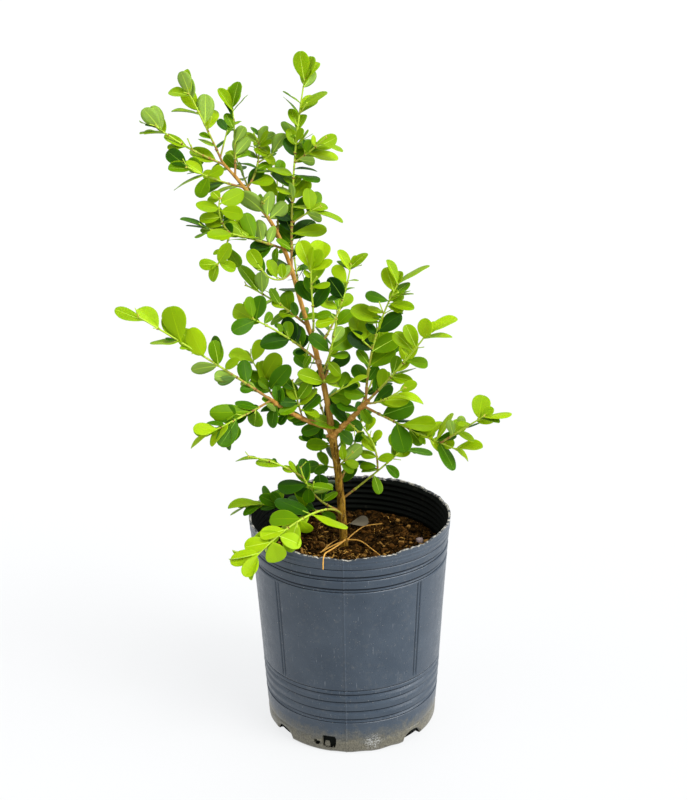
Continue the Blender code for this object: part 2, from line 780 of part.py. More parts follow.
def make_soil(parts):
    """A plug of soil that fills the pot, with a low uneven top and a level spot for the trunk."""
    earth = plain_material("potting_soil", (0.035, 0.022, 0.014), 0.95)
    mesh = bpy.data.meshes.new("soil")
    shape = bmesh.new()
    rng = random.Random(f"{SEED} soil")
    inner = FOOT_RADIUS - WALL - GROOVE_DEPTH - CLEARANCE
    slope = (RIM_RADIUS - FOOT_RADIUS) / POT_HEIGHT
    base = WALL + CLEARANCE
    edge_low = shape_ring(shape, inner - FOOT_CORNER, base)
    edge_foot = shape_ring(shape, inner + slope * 0.006, base + FOOT_CORNER + 0.001)
    middle_low = shape.verts.new((0, 0, base))
    rings = [edge_foot]
    for i in range(SOIL_RINGS):
        share = 1 - i / SOIL_RINGS
        radius = (inner + slope * SOIL_LEVEL) * share
        rings.append(shape_ring(shape, radius, SOIL_LEVEL))
    for ring in rings[1:]:
        for vertex in ring:
            lump = math.sin(vertex.co.x * 95 + 1) * math.sin(vertex.co.y * 80 + 2)
            swell = 0.5 * lump + 0.5 * rng.uniform(-0.6, 1)
            vertex.co.z += SOIL_SWELL * swell * soil_bare(vertex.co)
    middle_top = shape.verts.new((0, 0, SOIL_LEVEL))
    for lower, upper in [(edge_low, edge_foot), *zip(rings, rings[1:])]:
        for i in range(SOIL_SPOKES):
            j = (i + 1) % SOIL_SPOKES
            shape.faces.new((lower[i], lower[j], upper[j], upper[i]))
    for i in range(SOIL_SPOKES):
        j = (i + 1) % SOIL_SPOKES
        shape.faces.new((edge_low[j], edge_low[i], middle_low))
        shape.faces.new((rings[-1][i], rings[-1][j], middle_top))
    bmesh.ops.recalc_face_normals(shape, faces=shape.faces)
    shape.to_mesh(mesh)
    shape.free()
    return shade_round(add_mesh("soil", mesh, parts, earth))


def shape_ring(shape, radius, height):
    return [
        shape.verts.new((radius * math.cos(turn), radius * math.sin(turn), height))
        for turn in (math.tau * i / SOIL_SPOKES for i in range(SOIL_SPOKES))
    ]


def soil_bare(point):
    """0 under the trunk and 1 away from it, so that the trunk's flat foot stands on level soil."""
    _, x, y, diameter = TRUNK_STATIONS[0]
    away = math.hypot(point.x - x * MM, point.y - y * MM)
    return min(1.0, max(0.0, (away - 0.014) / 0.012))


# ---------------------------------------------------------------- the whole
def main():
    clear_scene()
    parts = new_collection("potted_boxwood")
    cutters = new_collection("cutters")
    helpers = new_collection("helpers")
    paths = lay_limbs()
    bark = plain_material("bark", (0.30, 0.17, 0.07), 0.85)
    shade_round(sweep("trunk", paths["trunk"], section_curve(TRUNK_SIDES, helpers), parts, bark), 50)
    bough_section = section_curve(BOUGH_SIDES, helpers)
    for bough in BOUGHS:
        wood = plain_material(f"{bough.name}_bark", (0.36, 0.19, 0.07), 0.8)
        shade_round(sweep(bough.name, paths[bough.name], bough_section, parts, wood), 70)
    blank = leaf_mesh()
    twig_section = section_curve(TWIG_SIDES, helpers)
    for mass in grow(paths):
        green = plain_material(f"{mass.name}_green", (0.16, 0.36, 0.03), 0.5)
        mass_solid(mass, blank, twig_section, parts, green)
    make_soil(parts)
    make_pot(parts, cutters)


main()
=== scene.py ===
"""The looks of the potted boxwood shrub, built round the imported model, which stays the frame.

The plant grows here by the rule of the model's source, written again: the same limbs, and on each
shoot the same pairs of leaves, to which this script adds small axil twigs and the leaves of the
buds. The leaves that stand out from the front are laid before those, from a table, and a shoot
that has such leaves keeps only those of the rule that they hide. Trunk, boughs, pot and soil are
finer meshes in the places of the solids.
"""

import math
import random
from collections import namedtuple

import bpy
import numpy as np
from mathutils import Matrix, Vector, kdtree, noise
from mathutils.bvhtree import BVHTree


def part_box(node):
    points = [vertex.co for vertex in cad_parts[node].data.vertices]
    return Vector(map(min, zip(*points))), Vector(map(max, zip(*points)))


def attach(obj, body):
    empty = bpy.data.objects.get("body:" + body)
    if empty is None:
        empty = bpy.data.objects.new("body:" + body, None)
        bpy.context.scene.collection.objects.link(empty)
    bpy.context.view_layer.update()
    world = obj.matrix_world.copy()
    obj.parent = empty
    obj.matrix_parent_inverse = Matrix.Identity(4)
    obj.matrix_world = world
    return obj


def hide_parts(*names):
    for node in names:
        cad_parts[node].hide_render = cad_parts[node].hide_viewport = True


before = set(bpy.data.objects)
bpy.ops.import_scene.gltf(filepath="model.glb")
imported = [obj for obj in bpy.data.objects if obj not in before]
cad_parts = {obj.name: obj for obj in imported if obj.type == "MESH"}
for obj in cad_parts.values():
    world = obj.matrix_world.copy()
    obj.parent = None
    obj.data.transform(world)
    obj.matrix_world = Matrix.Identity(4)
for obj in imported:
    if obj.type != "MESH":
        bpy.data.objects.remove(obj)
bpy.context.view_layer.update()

MM = 0.001
CLEARANCE = 0.0003

# ---------------------------------------------------------------- sizes, in metres
POT_HEIGHT = round(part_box("pot")[1].z, 4)
RIM_RADIUS = round(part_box("pot")[1].x, 3)
FOOT_RADIUS = 0.0690
FOOT_CORNER = 0.0030
WALL = 0.0016
GROOVE_DEPTH = 0.0011
UPPER_GROOVES = (0.1600, 0.1497)
UPPER_GROOVE_WIDTH = 0.0045
LOWER_GROOVES = (0.0552, 0.0482, 0.0399, 0.0323)
LOWER_GROOVE_WIDTH = 0.0036
THIN_LINES = (0.1656, 0.1563, 0.1461, 0.0583, 0.0286)
THIN_LINE_HALF = 0.00055
THIN_LINE_DEPTH = 0.0006
SEAM_ANGLE = math.radians(-94)
NOTCH_SPREAD = math.radians(49)
NOTCH_WIDTH = 0.021
NOTCH_HEIGHT = 0.0080
DRAIN_ANGLE = math.radians(-105.4)
DRAIN_WIDTH = 0.0108
DRAIN_BASE = 0.0052
DRAIN_HEIGHT = 0.0098
RIM_BITES = 14
RIM_BITE_DEPTH = 0.0014
SOIL_LEVEL = 0.1460
SOIL_SWELL = 0.0030
LIMB_STEP = 0.013

# The way from which the plant's light comes, to which its leaves turn.
LIGHT = Vector((0.0, -0.78, 0.62)).normalized()
SEED = "boxwood"

# Height, place along X and Y, and diameter of the trunk, in millimetres, from the soil to its tip.
TRUNK_STATIONS = (
    (146, -5, 3, 11.0),
    (152, -5, 3, 8.2),
    (188, -7, 2, 7.0),
    (223, -10, 0, 6.6),
    (249, -13.5, -2, 7.2),
    (266, -15.5, -2, 5.2),
    (306, -23, 1, 4.5),
    (354, -36, 4, 4.0),
    (384, -44, 4, 3.8),
    (411, -55, 4, 3.6),
    (437, -74, 7, 3.2),
    (457, -91, 10, 2.4),
)
FOOT_X, FOOT_Y = (place * MM for place in TRUNK_STATIONS[0][1:3])

# Each bough or shoot: the limb that carries it and how far along that limb, then its heading
# (0 is +X, 90 is +Y), its rise above the level, its length, and how far its rise and heading
# turn on the way. Millimetres and degrees.
Bough = namedtuple("Bough", "name limb at heading rise length lift swing thick thin")
BOUGHS = (
    Bough("bough_right", "trunk", 99, 339, 43, 44, 8, 1, 4.4, 3.6),
    Bough("bough_left", "trunk", 105, 193, 20, 59, 24, 18, 4.0, 3.0),
)

# A shoot adds the number of its leaf pairs, how far along it the first pair stands, and the
# length of a full leaf.
Shoot = namedtuple("Shoot", "name limb at heading rise length lift swing pairs first leaf")
SHOOTS = (
    Shoot("leader", "trunk", 330, 202, 68, 56, -4, 0, 4, 10, 21),
    Shoot("leader_left", "trunk", 328, 193, 23, 58, 18, 4, 5, 12, 18),
    Shoot("leader_low", "trunk", 306, 203, 15, 47, 17, 1, 3, 12, 18),
    Shoot("tuft_spire", "trunk", 316, 82, 70, 57, 8, 30, 4, 10, 17),
    Shoot("tuft_right", "trunk", 304, 52, 29, 47, 60, 32, 4, 14, 16),
    Shoot("shoulder", "trunk", 251, 212, 25, 66, -11, -18, 4, 14, 19),
    Shoot("shoulder_up", "shoulder", 42, 197, 48, 28, 56, 4, 2, 10, 18),
    Shoot("shoulder_down", "shoulder", 42, 249, -52, 27, 13, -11, 2, 10, 17),
    Shoot("spire", "trunk", 233, 67, 89, 142, -15, -21, 8, 16, 21),
    Shoot("spire_right", "spire", 71, 341, 33, 32, 9, -5, 3, 10, 16),
    Shoot("spire_low", "spire", 26, 348, 37, 26, -12, -2, 2, 14, 18),
    Shoot("front_mid", "trunk", 181, 281, 24, 77, 68, -24, 5, 16, 19),
    Shoot("front_right", "trunk", 149, 296, 48, 62, 21, -8, 4, 14, 19),
    Shoot("back_right", "trunk", 168, 43, 37, 75, 34, 16, 5, 16, 19),
    Shoot("right_up", "bough_right", 34.5, 349, 89, 98, -27, 6, 7, 12, 19),
    Shoot("right_out", "bough_right", 38, 326, 46, 80, 8, 2, 5, 14, 19),
    Shoot("right_near", "bough_right", 34, 294, 15, 55, 26, 25, 4, 16, 19),
    Shoot("right_low", "bough_right", 31, 332, -19, 82, 8, -4, 6, 14, 20),
    Shoot("right_low_tip", "right_low", 66, 322, 38, 48, 0, 0, 3, 10, 19),
    Shoot("foot_right", "trunk", 42, 9, 35, 64, 6, 1, 4, 14, 16),
    Shoot("foot_right_up", "foot_right", 32, 157, 95, 48, -55, 14, 3, 12, 18),
    Shoot("foot_left", "trunk", 32, 207, 26, 63, 49, 22, 4, 16, 22),
    Shoot("foot_left_out", "foot_left", 47, 173, 35, 46, -24, 11, 3, 14, 20),
    Shoot("foot_front", "trunk", 28, 254, 42, 118, -76, -39, 6, 36, 25),
    Shoot("foot_side", "trunk", 24, 174, 25, 80, -33, 8, 4, 26, 19),
    Shoot("long_left", "bough_left", 54, 194, 39, 120, -3, 1, 7, 14, 21),
    Shoot("left_up", "bough_left", 44, 128, 38, 47, 1, -2, 3, 12, 20),
    Shoot("left_low", "bough_left", 52, 216, -16, 60, 7, 4, 5, 12, 20),
    Shoot("mid_left", "trunk", 160, 210, 45, 71, -15, 6, 5, 14, 20),
    Shoot("high_left", "trunk", 188, 170, 41, 57, -15, 3, 4, 12, 20),
    Shoot("high_drop", "trunk", 233, 241, -31, 37, 88, -25, 2, 12, 18),
    Shoot("left_spur", "bough_left", 20, 203, 75, 33, 3, 0, 2, 12, 19),
    Shoot("fork_spur", "trunk", 129, 322, 43, 26, -15, -2, 2, 14, 20),
    Shoot("low_back", "trunk", 89, 127, -12, 26, 10, -2, 2, 14, 18),
    Shoot("low_back_left", "trunk", 70, 125, -14, 24, 5, 0, 2, 14, 18),
    Shoot("low_right", "trunk", 71, 319, 43, 23, 4, 0, 2, 12, 20),
    Shoot("high_spur", "trunk", 287, 300, 40, 10, 0, 0, 1, 6, 18),
    Shoot("fork_pair", "trunk", 142, 275, 30, 12, 0, 0, 1, 8, 26),
    Shoot("bough_under", "bough_right", 12, 300, -12, 16, 0, 0, 2, 8, 15),
    Shoot("back_foot", "trunk", 36, 96, 34, 60, 20, 0, 4, 16, 20),
    Shoot("back_low", "trunk", 56, 66, 30, 58, 20, 0, 4, 14, 20),
    Shoot("back_fork", "trunk", 96, 112, 34, 74, 12, 0, 5, 14, 20),
    Shoot("back_bough", "bough_right", 24, 62, 30, 62, 20, 0, 4, 14, 20),
    Shoot("back_mid", "trunk", 140, 76, 36, 70, 10, 0, 4, 14, 20),
    Shoot("back_high", "trunk", 206, 100, 34, 60, 14, 0, 4, 12, 19),
    Shoot("back_shoulder", "trunk", 262, 92, 40, 52, 10, 0, 3, 12, 18),
    Shoot("back_top", "trunk", 294, 118, 36, 40, 10, 0, 3, 10, 17),
)

# Three short twigs that the source is too coarse for.
FINE_SHOOTS = (
    Shoot("leader_right", "leader", 3, 0, 73, 21, 0, 0, 0, 8, 16),
    Shoot("tuft_side", "tuft_right", 22, 10, 30, 14, 0, 0, 0, 8, 16),
    Shoot("right_up_left", "right_up", 40, 200, 45, 12, 0, 0, 0, 8, 20),
)

# The leaves that stand out from the front, by limb and by tone, 0 the darkest and 6 the lightest:
# how far along the limb each sets out, where its tip points as it is seen (0 is right, 90 is up),
# its length, how far its face is turned away (90 is edge on, 180 shows the back), and how wide
# it is for its length, where that is not as usual. Millimetres and degrees.
# Tones are partly the leaves' own colour and partly painted light and shade: darker in the crown's
# shade, lime where backlit.
SHOWN_LEAVES = {
    "leader": {
        2: ((10, 60, 10, 40),),
        3: ((30, 85, 22, 170, 1.05), (18, 150, 10, 45)),
        4: ((53, 160, 17.5, 30), (54, 106, 18, 160), (50, 92, 16, 125), (38, 165, 20, 74),
            (12, 152, 14, 50)),
    },
    "leader_left": {
        1: ((54, 160, 10, 70),),
        3: ((51, 126, 19, 165), (1, 225, 10, 30)),
        4: ((3, 158, 22, 20), (28, 170, 14, 60), (50, 112, 19, 172), (49, 171, 18, 72),
            (46, 172, 17, 72), (52, 152, 17, 60), (27, 155, 19, 52)),
    },
    "leader_low": {
        1: ((46, 139, 20, 12),),
        2: ((10, 190, 14, 70),),
        3: ((38, 172, 18, 20), (25, 243, 17, 8, 1.05)),
        4: ((28, 194, 25, 62, 0.85), (26, 22, 13, 15)),
        5: ((30, 140, 16, 28), (14, 152, 16, 28), (0, 187, 24, 74)),
    },
    "tuft_spire": {
        1: ((38, 112, 14, 68),),
        2: ((30, 150, 8, 30), (6, 0, 18, 82)),
        3: ((46, 96, 19, 15, 1.2), (46, 82, 19, 35), (31, 114, 13, 25), (12, 55, 16, 140),
            (9, 45, 14, 25)),
        4: ((44, 55, 18, 75), (34, 40, 7, 30), (20, 72, 15, 150), (21, 55, 14, 155),
            (44, 122, 18, 55, 0.85)),
    },
    "tuft_right": {
        2: ((42, 130, 10, 40),),
        3: ((16, 30, 13, 20), (14, 8, 16, 60)),
        4: ((36, 140, 16, 55), (38, 62, 13, 150), (38, 30, 13, 150), (34, 25, 12, 30),
            (36, 45, 11, 20), (4, 8, 18, 60)),
        5: ((30, 330, 15, 45),),
    },
    "tuft_side": {
        3: ((13, 58, 17, 160), (12, 65, 9, 40)),
        4: ((12, 140, 15, 22), (9, 150, 12, 30)),
    },
    "spire": {
        0: ((38, 115, 9, 70), (19, 112, 19, 20), (0, 60, 9, 40), (28, 150, 14, 20)),
        1: ((75, 112, 16, 8), (13, 48, 24, 12), (66, 8, 17, 72)),
        2: ((28, 132, 11, 15), (11, 128, 20, 10), (62, 353, 20, 72)),
        3: ((74, 46, 18, 15), (54, 118, 10, 20), (28, 45, 12, 15), (6, 140, 12, 30),
            (106, 128, 17, 68)),
        4: ((126, 76, 24, 50), (125, 62, 15, 150), (114, 146, 16, 66), (110, 37, 22, 45),
            (97, 112, 15, 20), (83, 110, 15, 18), (83, 52, 15, 78), (61, 153, 21, 42),
            (52, 66, 12, 20), (44, 52, 20, 15), (44, 92, 12, 150), (18, 6, 27, 45, 0.8),
            (93, 76, 15, 25), (86, 60, 10, 20), (84, 32, 15, 78), (130, 98, 21, 12)),
        5: ((38, 358, 14, 62),),
        6: ((47, 146, 14, 35), (40, 95, 10, 50)),
    },
    "spire_right": {
        3: ((12, 85, 9, 10, 1.2), (12, 340, 7, 70)),
        4: ((19, 22, 20, 5, 0.9), (4, 345, 13, 140), (24, 350, 19, 76)),
        5: ((14, 350, 13, 20, 1.1), (20, 95, 9, 30), (12, 352, 24, 35, 0.8)),
    },
    "spire_low": {
        4: ((15, 25, 16, 50), (17, 352, 25, 70), (17, 92, 18, 15), (14, 340, 14, 140)),
    },
    "high_spur": {
        3: ((1, 92, 9, 30),),
    },
    "shoulder": {
        1: ((3, 175, 20, 45), (40, 115, 10, 20)),
        2: ((22, 118, 14, 160), (58, 158, 22, 75), (59, 170, 16, 80), (6, 215, 20, 30)),
        3: ((16, 97, 16, 160, 1.1), (56, 203, 14, 76), (10, 75, 14, 150), (2, 250, 12, 30),
            (22, 108, 21, 20)),
        4: ((30, 350, 13, 60), (36, 168, 19, 45), (40, 196, 17, 10, 1.1), (26, 140, 20, 22),
            (24, 128, 20, 10)),
    },
    "shoulder_up": {
        1: ((10, 60, 12, 30),),
        3: ((12, 150, 13, 10), (4, 172, 20, 35)),
        4: ((27, 162, 11, 5, 1.3), (24, 32, 20, 8, 1.1), (20, 165, 18, 25), (19, 352, 17, 15),
            (14, 184, 16, 15), (8, 165, 15, 20), (26, 120, 10, 5, 1.2)),
    },
    "shoulder_down": {
        3: ((6, 15, 14, 80),),
        4: ((26, 53, 17, 10), (14, 195, 9, 30), (26, 190, 12, 5, 1.25), (26, 243, 14, 10),
            (25, 336, 13.5, 15)),
    },
    "high_drop": {
        2: ((30, 125, 15, 12),),
        3: ((8, 75, 10, 160),),
        4: ((34, 122, 17, 20), (16, 118, 16, 25), (10, 95, 11, 20)),
    },
    "high_left": {
        2: ((4, 40, 11, 150), (6, 100, 12, 20)),
        3: ((37, 92, 17, 165, 1.05), (12, 108, 18, 8, 1.2), (22, 120, 14, 30), (2, 20, 16, 50),
            (40, 124, 28, 30, 0.7)),
        4: ((6, 160, 14, 40),),
        5: ((16, 150, 12, 55),),
    },
    "mid_left": {
        0: ((22, 108, 21, 10), (20, 94, 18, 30), (12, 82, 12, 15), (8, 182, 9, 20)),
        1: ((26, 182, 21, 12, 1.1),),
        2: ((62, 200, 18, 8, 1.1), (62, 80, 19, 8, 1.05)),
        3: ((65, 98, 17, 20), (66, 105, 15, 50), (54, 55, 11, 12), (27, 98, 14, 20),
            (3, 232, 11, 25), (36, 95, 8, 20)),
        4: ((66, 150, 19, 8, 1.05),),
    },
    "left_up": {
        2: ((12, 52, 22, 12, 1.1), (10, 158, 18, 30)),
        3: ((18, 135, 17, 15), (20, 165, 12, 30), (12, 130, 12, 20)),
        4: ((18, 96, 18, 20), (24, 60, 14, 30), (22, 62, 22, 20)),
        5: ((40, 68, 18, 25), (30, 92, 8, 30)),
        6: ((40, 160, 20, 42),),
    },
    "left_spur": {
        1: ((6, 150, 14, 10), (10, 173, 13, 12)),
        2: ((2, 40, 20, 50), (21, 140, 15, 12)),
        3: ((26, 20, 15, 155), (14, 118, 14, 40), (12, 52, 17, 12), (8, 205, 15, 12)),
        4: ((4, 352, 16, 60), (7, 53, 19, 38), (12, 125, 13, 16)),
    },
    "bough_left": {
        1: ((14, 178, 13, 25), (34, 232, 12, 15), (38, 190, 15, 30), (44, 80, 12, 40),
            (40, 186, 17, 50)),
        2: ((2, 196, 18, 15), (46, 250, 19, 25), (42, 96, 16, 25), (19, 168, 15, 15),
            (30, 128, 14, 20)),
        3: ((46, 160, 12, 40), (25, 167, 16, 15), (10, 112, 15, 40), (15, 350, 22, 60)),
        4: ((12, 95, 10, 40),),
    },
    "long_left": {
        1: ((86, 170, 8, 60),),
        2: ((20, 120, 11, 12), (14, 178, 11, 30), (31, 195, 15, 130), (21, 100, 19, 20)),
        3: ((48, 183, 21, 140), (48, 92, 17, 8, 1.1), (32, 178, 16, 150), (34, 190, 15, 155),
            (12, 150, 13, 150)),
        4: ((82, 102, 25, 5, 1.1), (84, 112, 22, 15), (83, 182, 22, 62), (72, 168, 9, 70),
            (42, 45, 13, 15), (113, 160, 24, 42, 0.85)),
        5: ((61, 118, 20, 8, 1.25),),
        6: ((101, 131, 24, 30),),
    },
    "left_low": {
        1: ((8, 195, 16, 25),),
        2: ((10, 168, 18, 50), (30, 168, 19, 25), (36, 285, 16, 8, 1.25), (30, 240, 23, 10, 1.1),
            (41, 170, 14, 55)),
        3: ((17, 180, 27, 12, 0.8), (12, 262, 14, 10, 1.6), (46, 200, 9, 20)),
        4: ((3, 330, 10, 150),),
        5: ((48, 178, 17, 30), (54, 215, 20, 66), (38, 228, 20, 45)),
    },
    "foot_left_out": {
        4: ((38, 178, 19, 73), (19, 160, 21, 63), (9, 154, 10, 5), (6, 110, 12, 55)),
    },
    "foot_left": {
        1: ((43, 97, 18, 10), (40, 184, 24, 47), (28, 169, 15, 5)),
        2: ((36, 265, 13, 10, 1.3),),
        3: ((38, 353, 20, 53), (16, 40, 14, 40), (30, 15, 17, 150)),
    },
    "foot_side": {
        1: ((18, 142, 24, 45), (47, 192, 16, 46)),
        2: ((48, 148, 16, 5, 1.1), (13, 334, 13, 5), (62, 199, 15, 48), (44, 130, 14, 15)),
        4: ((61, 175, 27, 69), (59, 181, 16, 52), (74, 204, 15, 79)),
    },
    "foot_front": {
        1: ((52, 157, 30, 48),),
        3: ((64, 173, 25, 42),),
        4: ((66, 302, 14, 5, 1.1),),
        5: ((52, 341, 30, 70, 0.9), (81, 189, 20, 42), (97, 189, 20, 37), (109, 190, 22, 18),
            (111, 240, 17, 5, 1.12)),
        6: ((89, 338, 19, 5, 1.04), (96, 287, 18, 5, 1.5)),
    },
    "low_back": {
        1: ((18, 150, 14, 30),),
        3: ((2, 176, 19, 12),),
    },
    "low_back_left": {
        2: ((8, 200, 13, 30),),
        3: ((10, 120, 14, 25),),
    },
    "bough_right": {
        1: ((8, 112, 14, 30), (12, 128, 18, 40)),
        2: ((0, 320, 16, 15, 1.2), (14, 322, 14, 20), (26, 168, 18, 60), (4, 150, 11, 20)),
        3: ((28, 300, 14, 20),),
        4: ((2, 155, 24, 45),),
    },
    "right_low": {
        0: ((26, 12, 19, 66),),
        1: ((40, 5, 11, 40),),
        2: ((14, 18, 26, 12), (27, 284, 23, 8, 1.15), (62, 18, 16, 60), (64, 303, 24, 50)),
        3: ((38, 312, 17, 15), (48, 290, 8, 20)),
        4: ((31, 3, 26, 58),),
        5: ((60, 138, 17, 25), (54, 48, 17, 35), (58, 345, 18, 25), (78, 2, 21, 60),
            (79, 322, 14, 45), (62, 62, 24, 66), (56, 322, 17, 40)),
    },
    "right_low_tip": {
        1: ((44, 10, 8, 20),),
        2: ((24, 28, 18, 80),),
        3: ((44, 350, 14, 60),),
        4: ((42, 78, 19, 10, 1.15), (44, 40, 12, 40), (18, 345, 15, 50), (14, 100, 12, 150),
            (28, 120, 10, 150), (34, 175, 10, 60)),
        5: ((46, 10, 21, 70, 0.7),),
    },
    "right_near": {
        1: ((8, 35, 19, 40),),
        2: ((12, 25, 11, 25),),
        4: ((44, 25, 15, 10),),
        5: ((20, 8, 20, 45), (38, 353, 23, 45)),
    },
    "right_out": {
        2: ((8, 75, 13, 20),),
        3: ((49, 352, 18, 50), (32, 72, 15, 15)),
        4: ((32, 20, 19, 75), (16, 84, 15, 15), (30, 352, 17, 40), (60, 128, 20, 25),
            (64, 112, 19, 20)),
        5: ((74, 78, 14, 10, 1.3), (78, 35, 27, 60, 0.85), (74, 8, 21, 72),
            (54, 118, 11, 35), (36, 45, 12, 50), (28, 358, 13, 35)),
    },
    "right_up": {
        0: ((39, 143, 22, 30),),
        1: ((54, 44, 20, 20, 1.1), (52, 130, 12, 15), (45, 178, 9, 30)),
        2: ((80, 158, 18, 52), (66, 165, 8, 40), (12, 122, 18, 8, 1.15), (14, 58, 14, 12)),
        3: ((38, 32, 24, 12), (26, 33, 24, 15), (27, 124, 15, 20), (85, 35, 17, 40),
            (2, 170, 17, 35)),
        4: ((88, 75, 17, 30), (96, 108, 19, 60), (96, 42, 29, 70, 0.75), (84, 8, 17, 72),
            (80, 60, 10, 30), (76, 350, 13, 25), (62, 175, 10, 60), (58, 35, 16, 35),
            (78, 350, 20, 10, 0.7), (80, 30, 13, 20), (64, 156, 25, 20, 0.95)),
        5: ((88, 104, 19, 10, 1.1), (70, 152, 13, 50)),
    },
    "right_up_left": {
        4: ((10, 85, 20, 10), (10, 110, 22, 20)),
    },
    "back_right": {
        0: ((44, 122, 18, 5, 1.1),),
        2: ((46, 195, 13, 40),),
        3: ((50, 30, 8, 60),),
        4: ((68, 50, 18, 25), (58, 10, 9, 75), (36, 50, 15, 15)),
        5: ((66, 120, 18, 58), (56, 125, 17, 25)),
        6: ((34, 143, 20, 35),),
    },
    "front_right": {
        2: ((24, 138, 20, 25),),
        3: ((26, 38, 27, 8), (34, 60, 15, 150), (20, 8, 15, 60)),
        4: ((14, 315, 16, 15),),
        5: ((57, 190, 16, 40),),
    },
    "front_mid": {
        1: ((53, 78, 14, 10), (46, 125, 20, 35), (40, 62, 20, 35)),
        2: ((53, 100, 15, 10),),
        3: ((30, 20, 14, 40),),
        4: ((73, 66, 16, 15), (60, 10, 14, 55)),
        5: ((75, 112, 22, 10), (75, 88, 15, 45), (73, 20, 17, 35), (67, 130, 8, 30),
            (74, 62, 25, 20)),
    },
    "fork_pair": {
        0: ((0, 190, 9, 20),),
        4: ((0, 155, 20, 50), (2, 25, 15, 20)),
        6: ((1, 355, 29, 40, 0.8),),
    },
    "fork_spur": {
        1: ((16, 20, 13, 20),),
        3: ((14, 62, 16, 15), (0, 352, 16, 20), (8, 10, 12, 20)),
        5: ((20, 30, 18, 60),),
    },
    "low_right": {
        3: ((2, 42, 20, 150), (0, 330, 12, 20)),
        4: ((4, 100, 13, 20), (4, 345, 13, 25)),
    },
    "foot_right": {
        2: ((40, 318, 15, 30), (60, 350, 24, 72)),
        3: ((56, 120, 16, 15), (34, 175, 14, 60), (28, 290, 16, 20)),
        4: ((50, 30, 15, 20),),
    },
    "foot_right_up": {
        3: ((4, 170, 14, 50),),
        4: ((26, 140, 10, 60), (10, 12, 13, 25), (12, 160, 13, 30)),
        5: ((34, 72, 14, 30), (24, 62, 12, 30), (16, 128, 15, 25)),
    },
    "trunk": {
        3: ((276, 38, 18, 160),),
        4: ((282, 133, 24, 162), (278, 88, 19, 165)),
    },
    "leader_right": {
        1: ((20, 125, 11, 40),),
        3: ((16, 60, 9, 40),),
    },
}
# The trunk and the bare boughs have no mass of their own, so their leaves belong to a shoot's.
BOUGH_LEAF_HOMES = {"trunk": "high_spur", "bough_left": "left_spur", "bough_right": "bough_under"}


# ---------------------------------------------------------------- small sums
def draws(name):
    """The random draws for one thing, the same in every run."""
    return random.Random(f"{SEED} {name}")


def aim(turn, climb=0.0):
    """The unit vector with this heading and rise, in radians."""
    level = math.cos(climb)
    return level * math.cos(turn), level * math.sin(turn), math.sin(climb)


def swung(first, second, turn):
    """The first way, swung towards the second by this many degrees."""
    return first * math.cos(math.radians(turn)) + second * math.sin(math.radians(turn))


def random_way(rng):
    return Vector([rng.uniform(-1, 1) for _ in range(3)])


def bell(away, width):
    """1 where away is 0, and almost nothing beyond twice the width."""
    return np.exp(-((away / width) ** 2))


def wrapped(turn):
    """The same angle between minus and plus half a turn."""
    return (turn + math.pi) % math.tau - math.pi


# ---------------------------------------------------------------- limbs as paths
class Path:
    """A limb's centreline, with its radius at each point."""

    def __init__(self, points, radii):
        self.points = points
        self.radii = radii
        self.reach = [0.0]
        for first, second in zip(points, points[1:]):
            self.reach.append(self.reach[-1] + (second - first).length)

    def at(self, distance):
        """The point, direction and radius this far along, and beyond the tip those of the tip."""
        last = len(self.points) - 2
        step = next((i for i in range(last) if self.reach[i + 1] > distance), last)
        span = self.reach[step + 1] - self.reach[step]
        share = min(1.0, (distance - self.reach[step]) / span)
        first, second = self.points[step], self.points[step + 1]
        radius = self.radii[step] + share * (self.radii[step + 1] - self.radii[step])
        return first.lerp(second, share), (second - first).normalized(), radius

    def gap(self, point):
        """How far a point is from the limb's surface, its ends cut off flat."""
        nearest = math.inf
        for step in range(len(self.points) - 1):
            first, second = self.points[step], self.points[step + 1]
            axis = second - first
            share = (point - first).dot(axis) / axis.length_squared
            inside = min(1.0, max(0.0, share))
            radius = self.radii[step] + inside * (self.radii[step + 1] - self.radii[step])
            beyond = abs(share - inside) * axis.length
            aside = (point - first - axis * share).length - radius
            nearest = min(nearest, math.hypot(beyond, max(0.0, aside)) if beyond else aside)
        return nearest

    def beads(self, spacing=0.0015):
        """(point, radius) at even steps along the limb."""
        count = max(2, math.ceil(self.reach[-1] / spacing))
        for i in range(count + 1):
            point, _, radius = self.at(self.reach[-1] * i / count)
            yield point, radius


def smooth_path(stations, step):
    """A curve through (point, radius) stations, with a point about every step."""
    points, radii = [], []
    for i in range(len(stations) - 1):
        a, b = stations[max(0, i - 1)], stations[i]
        c, d = stations[i + 1], stations[min(len(stations) - 1, i + 2)]
        count = max(1, round((c[0] - b[0]).length / step))
        for j in range(count + (i == len(stations) - 2)):
            t = j / count
            bend = (c[0] - a[0]) * (t - 2 * t**2 + t**3) / 2 + (d[0] - b[0]) * (t**3 - t**2) / 2
            points.append(b[0] * (1 - 3 * t**2 + 2 * t**3) + c[0] * (3 * t**2 - 2 * t**3) + bend)
            radii.append(b[1] + t * (c[1] - b[1]))
    return Path(points, radii)


def trunk_stations():
    return [
        (Vector((x, y, height)) * MM, diameter / 2 * MM)
        for height, x, y, diameter in TRUNK_STATIONS
    ]


def trunk_path():
    stations = trunk_stations()
    stations[0] = (stations[0][0] + Vector((0, 0, CLEARANCE)), stations[0][1])
    return smooth_path(stations, LIMB_STEP)


ARC_STEPS = 8


